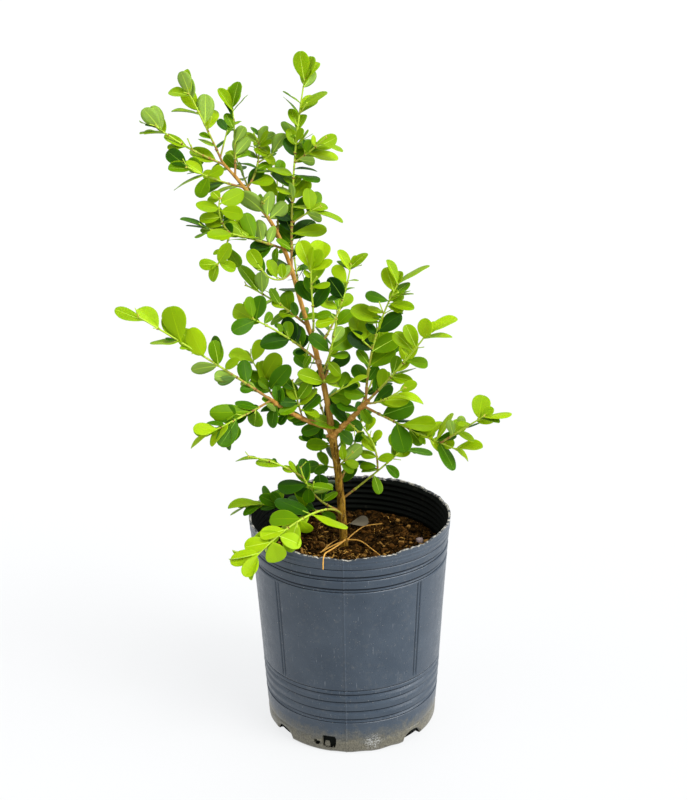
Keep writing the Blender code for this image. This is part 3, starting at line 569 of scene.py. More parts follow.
def arc_path(start, limb, thick, thin, skip=0.0, keep=ARC_STEPS):
    """A limb that sets out at its heading and rise and turns evenly by its swing and lift.

    skip leaves out the first stretch, which lies inside the limb that carries this one, and keep
    is how many small steps there are to a point: ARC_STEPS as in the source, 1 for the looks."""
    length = limb.length * MM
    steps = max(2, round(length / LIMB_STEP)) * ARC_STEPS
    points, radii = [], []
    point = start.copy()
    for i in range(steps + 1):
        if i % keep == 0:
            points.append(point.copy())
            radii.append(thick + (thin - thick) * i / steps)
        along = (i + 0.5) / steps
        turn = math.radians(limb.heading + limb.swing * along)
        climb = math.radians(limb.rise + limb.lift * along)
        point += Vector(aim(turn, climb)) * length / steps
    if skip:
        way = (points[1] - points[0]).normalized()
        points[0] = points[0] + way * min(skip, 0.8 * (points[1] - points[0]).length)
    return Path(points, radii)


def stand_off(carrier, start, way, radius):
    """How far along its way a limb starts, for its flat end to clear the one that carries it."""
    across = way.orthogonal().normalized() * radius
    rim = [Matrix.Rotation(math.tau * i / 8, 3, way) @ across for i in range(8)]
    skip = 0.0
    while any(carrier.gap(start + way * skip + spot) < CLEARANCE * 1.1 for spot in rim):
        skip += CLEARANCE / 4
    return skip


# ---------------------------------------------------------------- the source's leaf
LEAF_POINTS = 5
LEAF_WIDTH = 0.66
LEAF_THICKNESS = 0.045
LEAF_BLUNT = 0.93
LEAF_CUP = 0.10
LEAF_CURL = 0.10


def leaf_point(turn, rise):
    """A point of a leaf one long, from its base along +X: turn goes round its edge, from the
    base, and rise is 1 on its face, -1 on its back and 0 on its edge."""
    edge = 1 - abs(rise)
    along = 0.5 + edge * (((1 - math.cos(turn)) / 2) ** 0.75 / LEAF_BLUNT - 0.5)
    across = edge * LEAF_WIDTH / 2 * math.sin(turn) / math.sin(math.tau / LEAF_POINTS)
    height = LEAF_THICKNESS / 2 * rise + LEAF_CUP * abs(across) - LEAF_CURL * along**2
    return Vector((along, across, height))


Leaf = namedtuple("Leaf", "matrix length youth axis tone", defaults=(None,))


def leaf_matrix(base, ahead, face, length, width):
    """Places a leaf one long: ahead is where its tip points, and face where its top looks."""
    up = (face - ahead * face.dot(ahead)).normalized()
    side = up.cross(ahead)
    turn = Matrix((ahead, side, up)).transposed().to_4x4()
    return Matrix.Translation(base) @ turn @ Matrix.Diagonal((length, width, length, 1))


# ---------------------------------------------------------------- the space round the limbs
SHELL_GROW = 0.0005
SHELL_CORNERS = [(i * math.tau / LEAF_POINTS, 0) for i in range(LEAF_POINTS)]
SHELL_CORNERS += [(0, 1), (0, -1)]
SHELL_FACES = [
    (i, (i + 1) % LEAF_POINTS, LEAF_POINTS + side)
    for i in range(LEAF_POINTS)
    for side in (0, 1)
]
# How far apart two leaves' middles may be, as a share of both lengths, for them to touch.
TOUCHING = 0.56
SIDE_TWIG_WIDTH = 0.003


class Space:
    """What the air already holds: limbs as strings of beads, and leaves as small closed shells."""

    def __init__(self):
        self.beads = []
        self.blades = []
        self.shown = []
        self.tree = None

    def add_path(self, mass, path):
        self.beads.extend((mass, point, radius) for point, radius in path.beads())

    def settle(self):
        """Indexes the beads, once every stem is laid out."""
        self.tree = kdtree.KDTree(len(self.beads))
        for i, (_, point, _) in enumerate(self.beads):
            self.tree.insert(point, i)
        self.tree.balance()

    def shell(self, matrix):
        """A leaf grown a little, the same without its root, its middle and its length."""
        middle = matrix @ Vector((0.5, 0, 0))
        length = matrix.to_scale().x
        grown = []
        for turn, rise in SHELL_CORNERS:
            point = leaf_point(turn, rise)
            point.x = 0.5 + (point.x - 0.5) * (1 + SHELL_GROW / length)
            point.y *= 1 + 2 * SHELL_GROW / length
            point.z += rise * SHELL_GROW / length
            grown.append(matrix @ point)
        outer = [grown[0].lerp(middle, 0.5), *grown[1:]]
        trees = (BVHTree.FromPolygons(corners, SHELL_FACES) for corners in (grown, outer))
        return *trees, middle, length

    def admits(self, mass, matrix):
        """The leaf's shell, or None where it would touch the pot or a part of another mass."""
        shell = self.shell(matrix)
        tree, _, middle, length = shell
        if any(in_pot(point) for point in leaf_spots(matrix)):
            return None
        for _, i, _ in self.tree.find_range(middle, length * 0.5 + 0.006):
            owner, point, radius = self.beads[i]
            if owner != mass and tree.find_nearest(point, radius + CLEARANCE)[0]:
                return None
        return None if self.crosses(mass, shell, False) else shell

    def crosses(self, mass, shell, own):
        """Whether a leaf cuts through another mass's, or past its root through one of its own."""
        *trees, middle, length = shell
        for owner, whole, outer, centre, size in self.blades:
            if (owner == mass) == own and (centre - middle).length < (size + length) * TOUCHING:
                if trees[own].overlap(outer if own else whole):
                    return True
        return False

    def add_twig(self, mass, path):
        """Side twigs come after the beads are indexed, so they are kept as thin blades."""
        start, end = path.points[0], path.points[-1]
        ahead = (end - start).normalized()
        place = leaf_matrix(start, ahead, LIGHT, (end - start).length, SIDE_TWIG_WIDTH)
        self.add_blade(mass, self.shell(place))

    def add_blade(self, mass, shell):
        self.blades.append((mass, *shell))


def leaf_spots(matrix):
    """Points all over a leaf, past its root, close enough together to find a thin wall."""
    edge = [leaf_point(turn, 0) for turn, rise in SHELL_CORNERS if not rise]
    tip_to_root = [Vector((along, 0, 0)) for along in (0.3, 0.5, 0.7)]
    spots = edge[1:] + tip_to_root
    for first, second in zip(edge, edge[1:] + edge[:1]):
        for share in (0.25, 0.5, 0.75):
            rim = first.lerp(second, share)
            spots.extend((rim, rim.lerp(tip_to_root[1], 0.5)))
    return [matrix @ spot for spot in spots if spot.x > 0.15]


def outer_radius(height):
    """The pot's outside, without its grooves."""
    return FOOT_RADIUS + (RIM_RADIUS - FOOT_RADIUS) * height / POT_HEIGHT


NEAR_POT = 0.0012


def in_pot(point):
    """Whether a point is in the pot's wall or in the soil, or too close to them."""
    distance = math.hypot(point.x, point.y)
    outside = outer_radius(point.z)
    if point.z > POT_HEIGHT + NEAR_POT or distance > outside + NEAR_POT:
        return False
    in_wall = distance > outside - WALL - GROOVE_DEPTH - NEAR_POT
    return in_wall or point.z < SOIL_LEVEL + SOIL_SWELL + NEAR_POT


# ---------------------------------------------------------------- the growing rule
# What a shoot grows in and by: the space, its mass, its draws, and its leaves and side twigs.
Growth = namedtuple("Growth", "space mass rng leaves stems")
TWIST = 36
OPEN_OLD = 62
OPEN_YOUNG = 26
SIDE_CHANCE = 0.16
NUDGES = (0, 18, -18, 36, -36, 58, -58)
ROOT_DEPTH = 0.00015
STEM_THICK = 0.0013
STEM_THIN = 0.0007
WANDER = 0.38
# The least length, in millimetres, of a shoot that ends in a leaf, and of one with side twigs.
TIP_LEAF_FROM, SIDE_TWIGS_FROM = 40, 45


def stem_thick(shoot):
    return STEM_THICK * min(1.0, 0.6 + shoot.length / 200)


def pair_gap(shoot):
    """How far apart the shoot's leaf pairs stand, in millimetres."""
    return (shoot.length - shoot.first) / max(1, shoot.pairs - 1)


def pair_sides(axis, turn):
    """The two opposite ways in which the leaves of a pair leave the stem."""
    across = axis.cross(LIGHT).normalized()
    side = swung(across, axis.cross(across), turn)
    return side, -side


def try_leaf(growth, point, axis, side, opening, length, youth):
    """A list of one leaf, swung round the stem a little at a time until it is clear, or of none."""
    space, mass, rng, _, _ = growth
    wander = random_way(rng) * WANDER
    width = length * rng.uniform(0.90, 1.10)
    spare = None
    for nudge in NUDGES:
        out = Matrix.Rotation(math.radians(nudge), 3, axis) @ side
        ahead = swung(axis, out, opening).normalized()
        face = LIGHT + axis * 0.4 + wander
        matrix = leaf_matrix(point - ahead * ROOT_DEPTH, ahead, face, length, width)
        shell = space.admits(mass, matrix)
        if shell and not space.crosses(mass, shell, True):
            break
        spare = spare or (shell and (shell, matrix))
    else:
        if not spare:
            return []
        shell, matrix = spare
    space.add_blade(mass, shell)
    return [Leaf(matrix, length, youth, axis)]


def grow_shoot(growth, shoot, path):
    """Leaf pairs up the shoot, with a short side twig in some of their axils, and its tip."""
    rng, leaves = growth.rng, growth.leaves
    pairs, gap = shoot.pairs, pair_gap(shoot)
    for k in range(pairs):
        youth = (shoot.first + gap * k) / shoot.length
        point, axis, _ = path.at((shoot.first + gap * k) * MM)
        turn = (TWIST if k % 2 else -TWIST) + rng.uniform(-12, 12)
        opening = OPEN_OLD + (OPEN_YOUNG - OPEN_OLD) * youth**2 + rng.uniform(-8, 8)
        size = shoot.leaf * MM * (0.86 + 0.22 * math.sin(math.pi * min(1, youth * 1.1)))
        for side in pair_sides(axis, turn):
            length = size * rng.uniform(0.9, 1.08)
            leaves.extend(try_leaf(growth, point, axis, side, opening, length, youth))
        inner = 0 < k < pairs - 1 and shoot.length > SIDE_TWIGS_FROM
        if inner and rng.random() < SIDE_CHANCE:
            side = pair_sides(axis, turn + 90)[rng.randrange(2)]
            grow_side(growth, point, axis, side, size, youth)
    point, axis, _ = path.at(shoot.length * MM - 0.0004)
    if shoot.length > TIP_LEAF_FROM:
        side = pair_sides(axis, 90)[0]
        leaves.extend(try_leaf(growth, point, axis, side, 12, shoot.leaf * MM * 0.55, 1.0))


def grow_side(growth, point, axis, side, size, youth):
    """A short twig in a leaf's axil with a pair of smaller leaves at its tip."""
    rng = growth.rng
    ahead = (axis + side * 0.9).normalized()
    length = rng.uniform(0.009, 0.015)
    root = point - ahead * ROOT_DEPTH
    path = Path([root, point + ahead * length], [STEM_THIN, STEM_THIN * 0.8])
    if not clear_path(growth, path):
        return
    tip = path.points[1] - ahead * 0.0004
    youth = min(1.0, youth + 0.3)
    grown = []
    for out in pair_sides(ahead, rng.uniform(-30, 30)):
        grown += try_leaf(growth, tip, ahead, out, 42, size * rng.uniform(0.60, 0.74), youth)
    if grown:
        growth.stems.append(path)
        growth.leaves.extend(grown)
        growth.space.add_twig(growth.mass, path)


def clear_path(growth, path):
    """Whether a twig touches neither the pot nor anything of another mass."""
    space, mass = growth.space, growth.mass
    for point, radius in path.beads():
        if in_pot(point):
            return False
        for owner, tree, _, centre, size in space.blades:
            if owner != mass and (centre - point).length < size:
                if tree.find_nearest(point, radius + CLEARANCE)[0]:
                    return False
        for _, i, gap in space.tree.find_range(point, 0.006):
            owner, _, other = space.beads[i]
            if owner != mass and gap < other + radius + CLEARANCE:
                return False
    return True


def lay_limbs():
    """The paths of the trunk, the boughs and every shoot, by name."""
    paths = {"trunk": trunk_path()}
    for bough in BOUGHS:
        start = paths[bough.limb].at(bough.at * MM)[0]
        thick = bough.thick / 2 * MM
        way = arc_path(start, bough, thick, thick).at(0)[1]
        skip = stand_off(paths[bough.limb], start, way, thick)
        paths[bough.name] = arc_path(start, bough, thick, bough.thin / 2 * MM, skip)
    for shoot in SHOOTS + FINE_SHOOTS:
        start = paths[shoot.limb].at(shoot.at * MM)[0]
        thick = stem_thick(shoot)
        skip = 0.0
        if shoot.limb in ("trunk", *(bough.name for bough in BOUGHS)):
            way = arc_path(start, shoot, thick, thick).at(0)[1]
            skip = stand_off(paths[shoot.limb], start, way, thick)
        paths[shoot.name] = arc_path(start, shoot, thick, STEM_THIN, skip)
    return paths


def grow(paths):
    """Every mass as a list of (shoot, leaves, side twigs), a shoot on another one in its mass.

    The leaves that stand out come first, then what the source has, by its own draws, and then
    what is finer. Of the last two, a shoot that has leaves of the first keeps those behind them."""
    homes = {}
    for shoot in SHOOTS + FINE_SHOOTS:
        homes[shoot.name] = homes.get(shoot.limb, shoot.name)
    space = Space()
    for name, path in paths.items():
        space.add_path(homes.get(name, name), path)
    space.settle()
    shown = {}
    for name, tones in SHOWN_LEAVES.items():
        home = BOUGH_LEAF_HOMES.get(name, name)
        rng = draws(f"shown {name}")
        grown = shown.setdefault(home, [])
        for tone, rows in tones.items():
            for row in rows:
                leaf = show_leaf(space, homes[home], paths[name], tone, row, rng)
                if leaf:
                    grown.append(leaf)
    curtain = make_curtain(space)
    masses = {}
    for shoot in SHOOTS + FINE_SHOOTS:
        growth = Growth(space, homes[shoot.name], draws(shoot.name), [], [])
        grow_shoot(growth, shoot, paths[shoot.name])
        masses.setdefault(growth.mass, []).append((shoot, growth.leaves, growth.stems))
    for home, parts in masses.items():
        for shoot, leaves, stems in parts:
            growth = Growth(space, home, draws(f"fine {shoot.name}"), leaves, stems)
            grow_fine(growth, shoot, paths[shoot.name])
            if shoot.name in shown:
                leaves[:] = [leaf for leaf in leaves if is_behind(curtain, leaf.matrix)]
                leaves.extend(shown[shoot.name])
    return masses


# ---------------------------------------------------------------- the leaves that stand out
# The front's own axes, as it is seen: to the right, out towards the eye, and up.
ACROSS = Vector((1, 0, 0))
FRONT = Vector((0, -0.943, 0.332)).normalized()
UPWARD = FRONT.cross(ACROSS)
LEANS = (0, 0.2, -0.2, 0.4, -0.4, 0.65, -0.65, 0.9)
# A leaf wider than this for its length is one that leans, and looks short.
WIDE = 1.05
MOST_STRETCH = 1.3
# The share of a leaf that must be hidden for it to count as behind the rest.
BEHIND = 0.5


def show_leaf(space, mass, path, tone, row, rng):
    """One of the leaves that stand out, leant to or from the front until it is clear."""
    along, clock, length, turn, *wide = row
    wide = wide[0] if wide else 1.0
    base, axis, radius = path.at(along * MM)
    base = base + FRONT * radius * 0.7
    way = swung(ACROSS, UPWARD, clock)
    start = rng.uniform(-0.35, 0.35)
    if wide > WIDE:
        start = rng.choice((-1, 1)) * rng.uniform(0.45, 0.7)
    width = length * MM * wide * rng.uniform(0.84, 0.99)
    spare = None
    for shift in LEANS:
        lean = start + shift
        ahead = (way + FRONT * lean).normalized()
        side = ahead.cross(FRONT)
        side = side if side.z > 0 else -side
        face = swung(FRONT, side, turn)
        size = length * MM * min(MOST_STRETCH, math.hypot(1, lean))
        matrix = leaf_matrix(base - ahead * ROOT_DEPTH, ahead, face, size, width)
        if any(in_pot(spot) for spot in leaf_spots(matrix)):
            continue
        shell = space.admits(mass, matrix)
        if shell and not space.crosses(mass, shell, True):
            break
        spare = spare or (space.shell(matrix), matrix, size)
    else:
        if not spare:
            return None
        shell, matrix, size = spare
    space.add_blade(mass, shell)
    space.shown.append(matrix)
    return Leaf(matrix, size, along * MM / path.reach[-1], axis, tone)


def make_curtain(space):
    """All the leaves that stand out, as one tree of faces."""
    corners, faces = [], []
    for matrix in space.shown:
        first = len(corners)
        corners.extend(matrix @ leaf_point(turn, rise) for turn, rise in SHELL_CORNERS)
        faces.extend(tuple(first + i for i in face) for face in SHELL_FACES)
    return BVHTree.FromPolygons(corners, faces)


def is_behind(curtain, matrix):
    """Whether most of a leaf is hidden behind those that stand out, from the front."""
    spots = leaf_spots(matrix)
    hidden = sum(curtain.ray_cast(spot, FRONT)[0] is not None for spot in spots)
    return hidden >= BEHIND * len(spots)


# ---------------------------------------------------------------- what is finer than the source
AXIL_CHANCE = 0.40
BETWEEN_CHANCE = 0.40


def grow_fine(growth, shoot, path):
    """Small leaves on short twigs in the axils, and the pair that opens at the tip."""
    rng, leaves = growth.rng, growth.leaves
    gap = pair_gap(shoot)
    for k in range(shoot.pairs - 1):
        if rng.random() < BETWEEN_CHANCE:
            along = shoot.first + gap * (k + rng.uniform(0.42, 0.58))
            point, axis, _ = path.at(along * MM)
            small = shoot.leaf * MM * rng.uniform(0.62, 0.85)
            leaves.extend(grow_pair(growth, point, axis, small, 52, along / shoot.length, 90))
    for k in range(shoot.pairs):
        along = shoot.first + gap * k
        point, axis, _ = path.at(along * MM)
        if rng.random() > AXIL_CHANCE:
            continue
        side = pair_sides(axis, rng.uniform(-70, 70))[rng.randrange(2)]
        ahead = (axis + side * rng.uniform(0.7, 1.2)).normalized()
        tip = point + ahead * rng.uniform(0.0025, 0.0075)
        twig = Path([point, tip], [STEM_THIN * 0.8, STEM_THIN * 0.55])
        if not clear_path(growth, twig):
            continue
        small = shoot.leaf * MM * rng.uniform(0.36, 0.56)
        grown = grow_pair(growth, tip, ahead, small, 40, along / shoot.length)
        if grown:
            growth.stems.append(twig)
            leaves.extend(grown)
    point, axis, _ = path.at(shoot.length * MM - 0.0006)
    small = shoot.leaf * MM * rng.uniform(0.26, 0.42)
    leaves.extend(grow_pair(growth, point, axis, small, 24, 1.1))


def grow_pair(growth, point, ahead, length, opening, youth, turn=0):
    """Those of a pair's two leaves that find room."""
    grown = []
    for out in pair_sides(ahead, turn + growth.rng.uniform(-45, 45)):
        grown += try_leaf(growth, point, ahead, out, opening, length, youth)
    return grown


def fine_path(shoot, paths):
    """The shoot's arc again in small steps, from the middle of the limb that carries it."""
    start = paths[shoot.limb].at(shoot.at * MM)[0]
    return arc_path(start, shoot, stem_thick(shoot), STEM_THIN, keep=1)


# ---------------------------------------------------------------- meshes from arrays
def add_object(name, data):
    made = bpy.data.objects.new(name, data)
    bpy.context.scene.collection.objects.link(made)
    return made


class Heap:
    """The points and faces of one piece, gathered before it is made."""

    def __init__(self):
        self.points, self.uvs, self.corners, self.counts, self.slots = [], [], [], [], []
        self.size = 0

    def add(self, points, *groups, uvs=None):
        """Each group is an array of faces, one row of point numbers a face, and their slots."""
        points = np.asarray(points, float)
        for faces, slots in groups:
            faces = np.asarray(faces)
            self.corners.append((faces + self.size).ravel())
            self.counts.append(np.full(len(faces), faces.shape[1]))
            self.slots.append(np.broadcast_to(slots, len(faces)))
        self.points.append(points)
        self.uvs.append(np.zeros((len(points), 2)) if uvs is None else uvs)
        self.size += len(points)

    def add_rings(self, points, sides, slots, uvs=None):
        """A closed skin over rings of points. slots is one number, or one for each band."""
        points = np.reshape(np.asarray(points, float), (-1, 3))
        rings = len(points) // sides
        bands = np.broadcast_to(slots, rings - 1)
        self.add(
            points,
            (band_faces(rings, sides), np.repeat(bands, sides)),
            (cap_faces(0, sides, turned=True), bands[0]),
            (cap_faces((rings - 1) * sides, sides), bands[-1]),
            uvs=uvs,
        )

    def make(self, name, materials, slot, replaced=(), angle=None):
        """The piece, with only the materials that it uses, riding on the plant's one body."""
        points, uvs = np.concatenate(self.points), np.concatenate(self.uvs)
        corners, counts = np.concatenate(self.corners), np.concatenate(self.counts)
        used, slots = np.unique(np.concatenate(self.slots), return_inverse=True)
        mesh = bpy.data.meshes.new(name)
        mesh.vertices.add(len(points))
        mesh.vertices.foreach_set("co", points.astype(np.float32).ravel())
        mesh.loops.add(len(corners))
        mesh.loops.foreach_set("vertex_index", corners.astype(np.int32))
        mesh.polygons.add(len(counts))
        mesh.polygons.foreach_set("loop_start", (np.cumsum(counts) - counts).astype(np.int32))
        mesh.polygons.foreach_set("material_index", slots.reshape(-1).astype(np.int32))
        for number in used:
            mesh.materials.append(materials[number])
        mesh.update(calc_edges=True)
        layer = mesh.uv_layers.new(name="UVMap")
        layer.data.foreach_set("uv", uvs[corners].astype(np.float32).ravel())
        mesh.shade_smooth()
        if angle:
            mesh.set_sharp_from_angle(angle=math.radians(angle))
        piece = add_object(name, mesh)
        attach(piece, "root")
        if replaced:
            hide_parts(*replaced)


def band_faces(rings, sides, turned=False, closed=True):
    """Quads between each ring of points and the next. turned faces them the other way."""
    row = np.arange(rings - 1)[:, None] * sides
    here = np.arange(sides if closed else sides - 1)
    there = (here + 1) % sides
    quads = [row + here, row + there, row + sides + there, row + sides + here]
    return np.stack(quads[::-1] if turned else quads, -1).reshape(-1, 4)


def cap_faces(first, sides, turned=False):
    """A fan that closes the ring that starts at point first."""
    i = np.arange(1, sides - 1)
    fan = [np.full(len(i), first), first + i, first + i + 1]
    return np.stack(fan[::-1] if turned else fan, -1)


def axes_along(points):
    """Unit vectors ahead, across and over along a line, that turn as little as they can."""
    ahead = np.gradient(points, axis=0)
    ahead /= np.linalg.norm(ahead, axis=1)[:, None]
    across = np.empty_like(ahead)
    side = np.cross(ahead[0], (0.31, 0.22, 0.92))
    for i, way in enumerate(ahead):
        side = side - way * side.dot(way)
        side /= np.linalg.norm(side)
        across[i] = side
    return ahead, across, np.cross(ahead, across)


def tube_points(points, radii, sides):
    """Rings round a line. radii is one for each point, or an array of one for each side too."""
    _, across, over = axes_along(points)
    turn = math.tau * np.arange(sides) / sides
    radii = np.broadcast_to(np.reshape(radii, (len(points), -1)), (len(points), sides))
    out = across[:, None] * np.cos(turn)[:, None] + over[:, None] * np.sin(turn)[:, None]
    return (points[:, None] + out * radii[..., None]).reshape(-1, 3)


def add_tube(heap, points, radii, sides, slots):
    """A closed tube. slots is one number, or one for each stretch between two rings."""
    heap.add_rings(tube_points(np.asarray(points, float), radii, sides), sides, slots)


def resample(path, step):
    """Points and radii at even steps along a Path."""
    count = max(2, math.ceil(path.reach[-1] / step))
    spots = [path.at(path.reach[-1] * i / count) for i in range(count + 1)]
    return np.array([spot[0] for spot in spots]), np.array([spot[2] for spot in spots])


# ---------------------------------------------------------------- materials
def new_material(name, colour, roughness, specular=0.5, **constants):
    """A principled material whose constants sit on the shader's own sockets."""
    material = bpy.data.materials.new(name)
    material.use_nodes = True
    shader = material.node_tree.nodes["Principled BSDF"]
    shader.inputs["Base Color"].default_value = (*colour, 1)
    shader.inputs["Roughness"].default_value = roughness
    shader.inputs["Specular IOR Level"].default_value = specular
    for socket, value in constants.items():
        shader.inputs[socket.replace("_", " ")].default_value = value
    return material


class Nodes:
    """Short calls for one material's nodes."""

    def __init__(self, material):
        self.tree = material.node_tree
        self.shader = self.tree.nodes["Principled BSDF"].inputs
        self.place = self.add("TexCoord", {}).outputs

    def add(self, kind, inputs, **settings):
        """A new node with these settings, and its inputs fed, by their names or numbers."""
        made = self.tree.nodes.new("ShaderNode" + kind)
        for name, value in settings.items():
            setattr(made, name, value)
        for socket, value in inputs.items():
            self.link(value, made.inputs[socket])
        return made

    def link(self, value, socket):
        """Feeds the socket from another one, or sets it to a plain value."""
        if isinstance(value, bpy.types.NodeSocket):
            self.tree.links.new(value, socket)
        else:
            socket.default_value = value

    def stretched(self, scale, source="Object", turn=(0, 0, 0)):
        inputs = {"Scale": scale, "Rotation": turn, "Vector": self.place[source]}
        return self.add("Mapping", inputs).outputs[0]

    def noise(self, scale, vector=None, detail=4.0, rough=0.6):
        inputs = {"Scale": scale, "Detail": detail, "Roughness": rough}
        inputs["Vector"] = vector or self.place["Object"]
        return self.add("TexNoise", inputs).outputs["Fac"]

    def distance(self, place):
        inputs = {0: self.place["Object"], 1: place}
        return self.add("VectorMath", inputs, operation="DISTANCE").outputs["Value"]

    def height(self):
        return self.add("SeparateXYZ", {0: self.place["Object"]}).outputs["Z"]

    def ramp(self, value, low, high, start=0.0, end=1.0):
        return self.add("MapRange", dict(enumerate((value, low, high, start, end)))).outputs[0]

    def maths(self, operation, first, second=0.0):
        return self.add("Math", {0: first, 1: second}, operation=operation).outputs[0]

    def mix(self, share, first, second):
        """Colour first where share is 0 and second where it is 1."""
        first, second = ((*c, 1.0) if isinstance(c, tuple) else c for c in (first, second))
        return self.add("Mix", {0: share, 6: first, 7: second}, data_type="RGBA").outputs[2]

    def fade(self, value, low, high, first, second, most=1.0):
        """Colour first up to low, and from there to high more and more of second."""
        return self.mix(self.ramp(value, low, high, 0.0, most), first, second)

    def colour(self, value):
        self.link(value, self.shader["Base Color"])

    def roughness(self, value):
        self.link(value, self.shader["Roughness"])

    def bump(self, value, strength, distance):
        inputs = {"Strength": strength, "Distance": distance, "Height": value}
        self.link(self.add("Bump", inputs).outputs[0], self.shader["Normal"])


# ---------------------------------------------------------------- leaves
# Lighter and darker copies of the leaf colour, for its own colour and for painted light and shade.
LEAF_TONES = (
    ("night", (0.006, 0.029, 0.001)),
    ("deep", (0.018, 0.068, 0.001)),
    ("dark", (0.041, 0.124, 0.001)),
    ("middle", (0.101, 0.212, 0.001)),
    ("fresh", (0.180, 0.300, 0.002)),
    ("bright", (0.255, 0.388, 0.003)),
    ("lime", (0.270, 0.425, 0.008)),
)
LIGHTEST = len(LEAF_TONES) - 1
# The other parts of a leaf, whose materials follow those of the tones, with their roughness.
LEAF_PARTS = (
    ("vein_dark", (0.14, 0.28, 0.02), 0.5),
    ("vein_light", (0.42, 0.60, 0.06), 0.5),
    ("leaf_back_dark", (0.10, 0.19, 0.035), 0.6),
    ("leaf_back_middle", (0.21, 0.33, 0.045), 0.6),
    ("leaf_back_light", (0.37, 0.51, 0.09), 0.6),
)
VEIN_DARK, VEIN_LIGHT, BACK_DARK, BACK_MIDDLE, BACK_LIGHT = range(LIGHTEST + 1, LIGHTEST + 6)


SOFT = {"Subsurface_Weight": 0.30, "Subsurface_Radius": (0.6, 1.0, 0.1), "Subsurface_Scale": 0.0008}


def leaf_materials():
    """Soft, faintly veined materials: one for each tone, then one for each other part."""
    made = [new_material(f"leaf_{name}", colour, 0.38, 0.05, **SOFT) for name, colour in LEAF_TONES]
    made += [new_material(name, colour, rough, 0.1, **SOFT) for name, colour, rough in LEAF_PARTS]
    for material in made:
        nodes = Nodes(material)
        slanted = nodes.stretched((1, 1, 1), "UV", (0, 0, math.radians(32)))
        inputs = {"Scale": 5.5, "Distortion": 1.2, "Detail": 1.0, "Vector": slanted}
        veins = nodes.add("TexWave", inputs, wave_type="BANDS", bands_direction="X").outputs["Fac"]
        pores = nodes.noise(1400, detail=2.0)
        nodes.bump(nodes.maths("ADD", veins, pores), 0.22, 0.0002)
    return made


# A leaf one long, by rows from its base to its tip, and by columns over its face and back again
# over its back, from -1 to 1 across. A strip lies between one column and the next.
STALK = 0.075
STALK_HALF = 0.028
STALK_THICK = 0.022
RIB = 0.014
MOST_RIB = 0.45
BLADE_THICKNESS = 0.016
ROWS = np.array(
    [0, 0.035, STALK, 0.13, 0.22, 0.34, 0.46, 0.58, 0.69, 0.79, 0.87, 0.93, 0.97, 0.992]
)
FACE_COLUMNS = (-1, -0.94, -0.5, -0.1, 0.1, 0.5, 0.94, 1)
BACK_COLUMNS = (0.55, 0.1, -0.1, -0.55)
RING = len(FACE_COLUMNS) + len(BACK_COLUMNS)
RIB_COLUMNS, BACK_RIB_COLUMNS = [3, 4], [9, 10]
RIB_SINK, BACK_RIB_RISE = -0.006, -0.010
FACE_STRIPS, RIB_STRIP, BACK_RIB_STRIP = 7, 3, 9
MARGIN_STRIPS = [0, 6]

# The share of the leaves that have a pale midrib.
PALE_RIBS = 0.35

LeafForm = namedtuple("LeafForm", "wedge blunt cup curl twist bend notch fold wave")


def half_width(form):
    """Half the blade's width at each row, its widest place being half of LEAF_WIDTH."""

    def blade(along):
        return along**form.wedge * (1 - along**form.blunt) ** 0.52

    widest = blade(np.linspace(0, 1, 60)).max()
    along = np.clip((ROWS - STALK) / (1 - STALK), 0, 1)
    stalk = STALK_HALF * (1 + 0.4 * (ROWS < 0.02))
    return np.maximum(stalk, LEAF_WIDTH / 2 * blade(along) / widest)


def leaf_surface(form):
    """The rings of points of a leaf one long, its base at the origin and its tip along +X."""
    rows = ROWS[:, None]
    wide = half_width(form)[:, None]
    rib = np.minimum(MOST_RIB, RIB * (1.15 - rows) / wide)
    columns = np.array(FACE_COLUMNS + BACK_COLUMNS, float)[None, :] * np.ones_like(wide)
    columns[:, RIB_COLUMNS] = np.sign(columns[:, RIB_COLUMNS]) * rib
    columns[:, BACK_RIB_COLUMNS] = np.sign(columns[:, BACK_RIB_COLUMNS]) * rib * 1.5
    across = columns * wide
    along = rows - form.notch * bell(columns, 0.35) * (rows > 0.98)
    in_blade = np.clip((rows - STALK) / 0.12, 0, 1)
    half = BLADE_THICKNESS / 2 * (1 - 0.6 * columns**2) * in_blade
    half = half + (1 - in_blade) * STALK_THICK * np.sqrt(np.clip(1 - columns**2, 0.05, 1))
    side = np.ones(RING)
    side[len(FACE_COLUMNS):] = -1
    side[[0, len(FACE_COLUMNS) - 1]] = 0
    ribbed = np.zeros(RING)
    ribbed[RIB_COLUMNS] = RIB_SINK
    ribbed[BACK_RIB_COLUMNS] = BACK_RIB_RISE
    height = half * side + ribbed * in_blade * (1.1 - rows)
    height += form.cup * np.abs(across) * (1 - form.fold + form.fold * np.abs(columns))
    height -= form.curl * along**2
    height += form.wave * np.sin(along * 9 + 2 * np.sign(columns)) * np.abs(across) * in_blade
    turn = form.twist * (along - STALK) * in_blade
    across, height = (
        across * np.cos(turn) - height * np.sin(turn),
        across * np.sin(turn) + height * np.cos(turn),
    )
    across = across + form.bend * along**2
    uvs = np.stack([along, np.abs(columns) * 0.5], -1)
    return np.stack([along, across, height], -1).reshape(-1, 3), uvs.reshape(-1, 2)


LEAF_QUADS = band_faces(len(ROWS), RING, turned=True)
LEAF_CAPS = np.concatenate(
    [cap_faces(0, RING), cap_faces((len(ROWS) - 1) * RING, RING, turned=True)]
)


def rolled(leaf, rng):
    """The leaf's place, turned round its own length so that its face looks partly up the stem."""
    length, width, _ = leaf.matrix.to_scale()
    ahead = leaf.matrix.col[0].xyz.normalized()
    up = leaf.matrix.col[2].xyz.normalized()
    share = rng.uniform(0.1, 0.6)
    face = up * (1 - share) + leaf.axis * share * 1.3 + random_way(rng) * 0.35
    size = rng.uniform(0.94, 1.10)
    width = width * size * rng.uniform(0.80, 0.96)
    return leaf_matrix(leaf.matrix.translation, ahead, face, length * size, width)


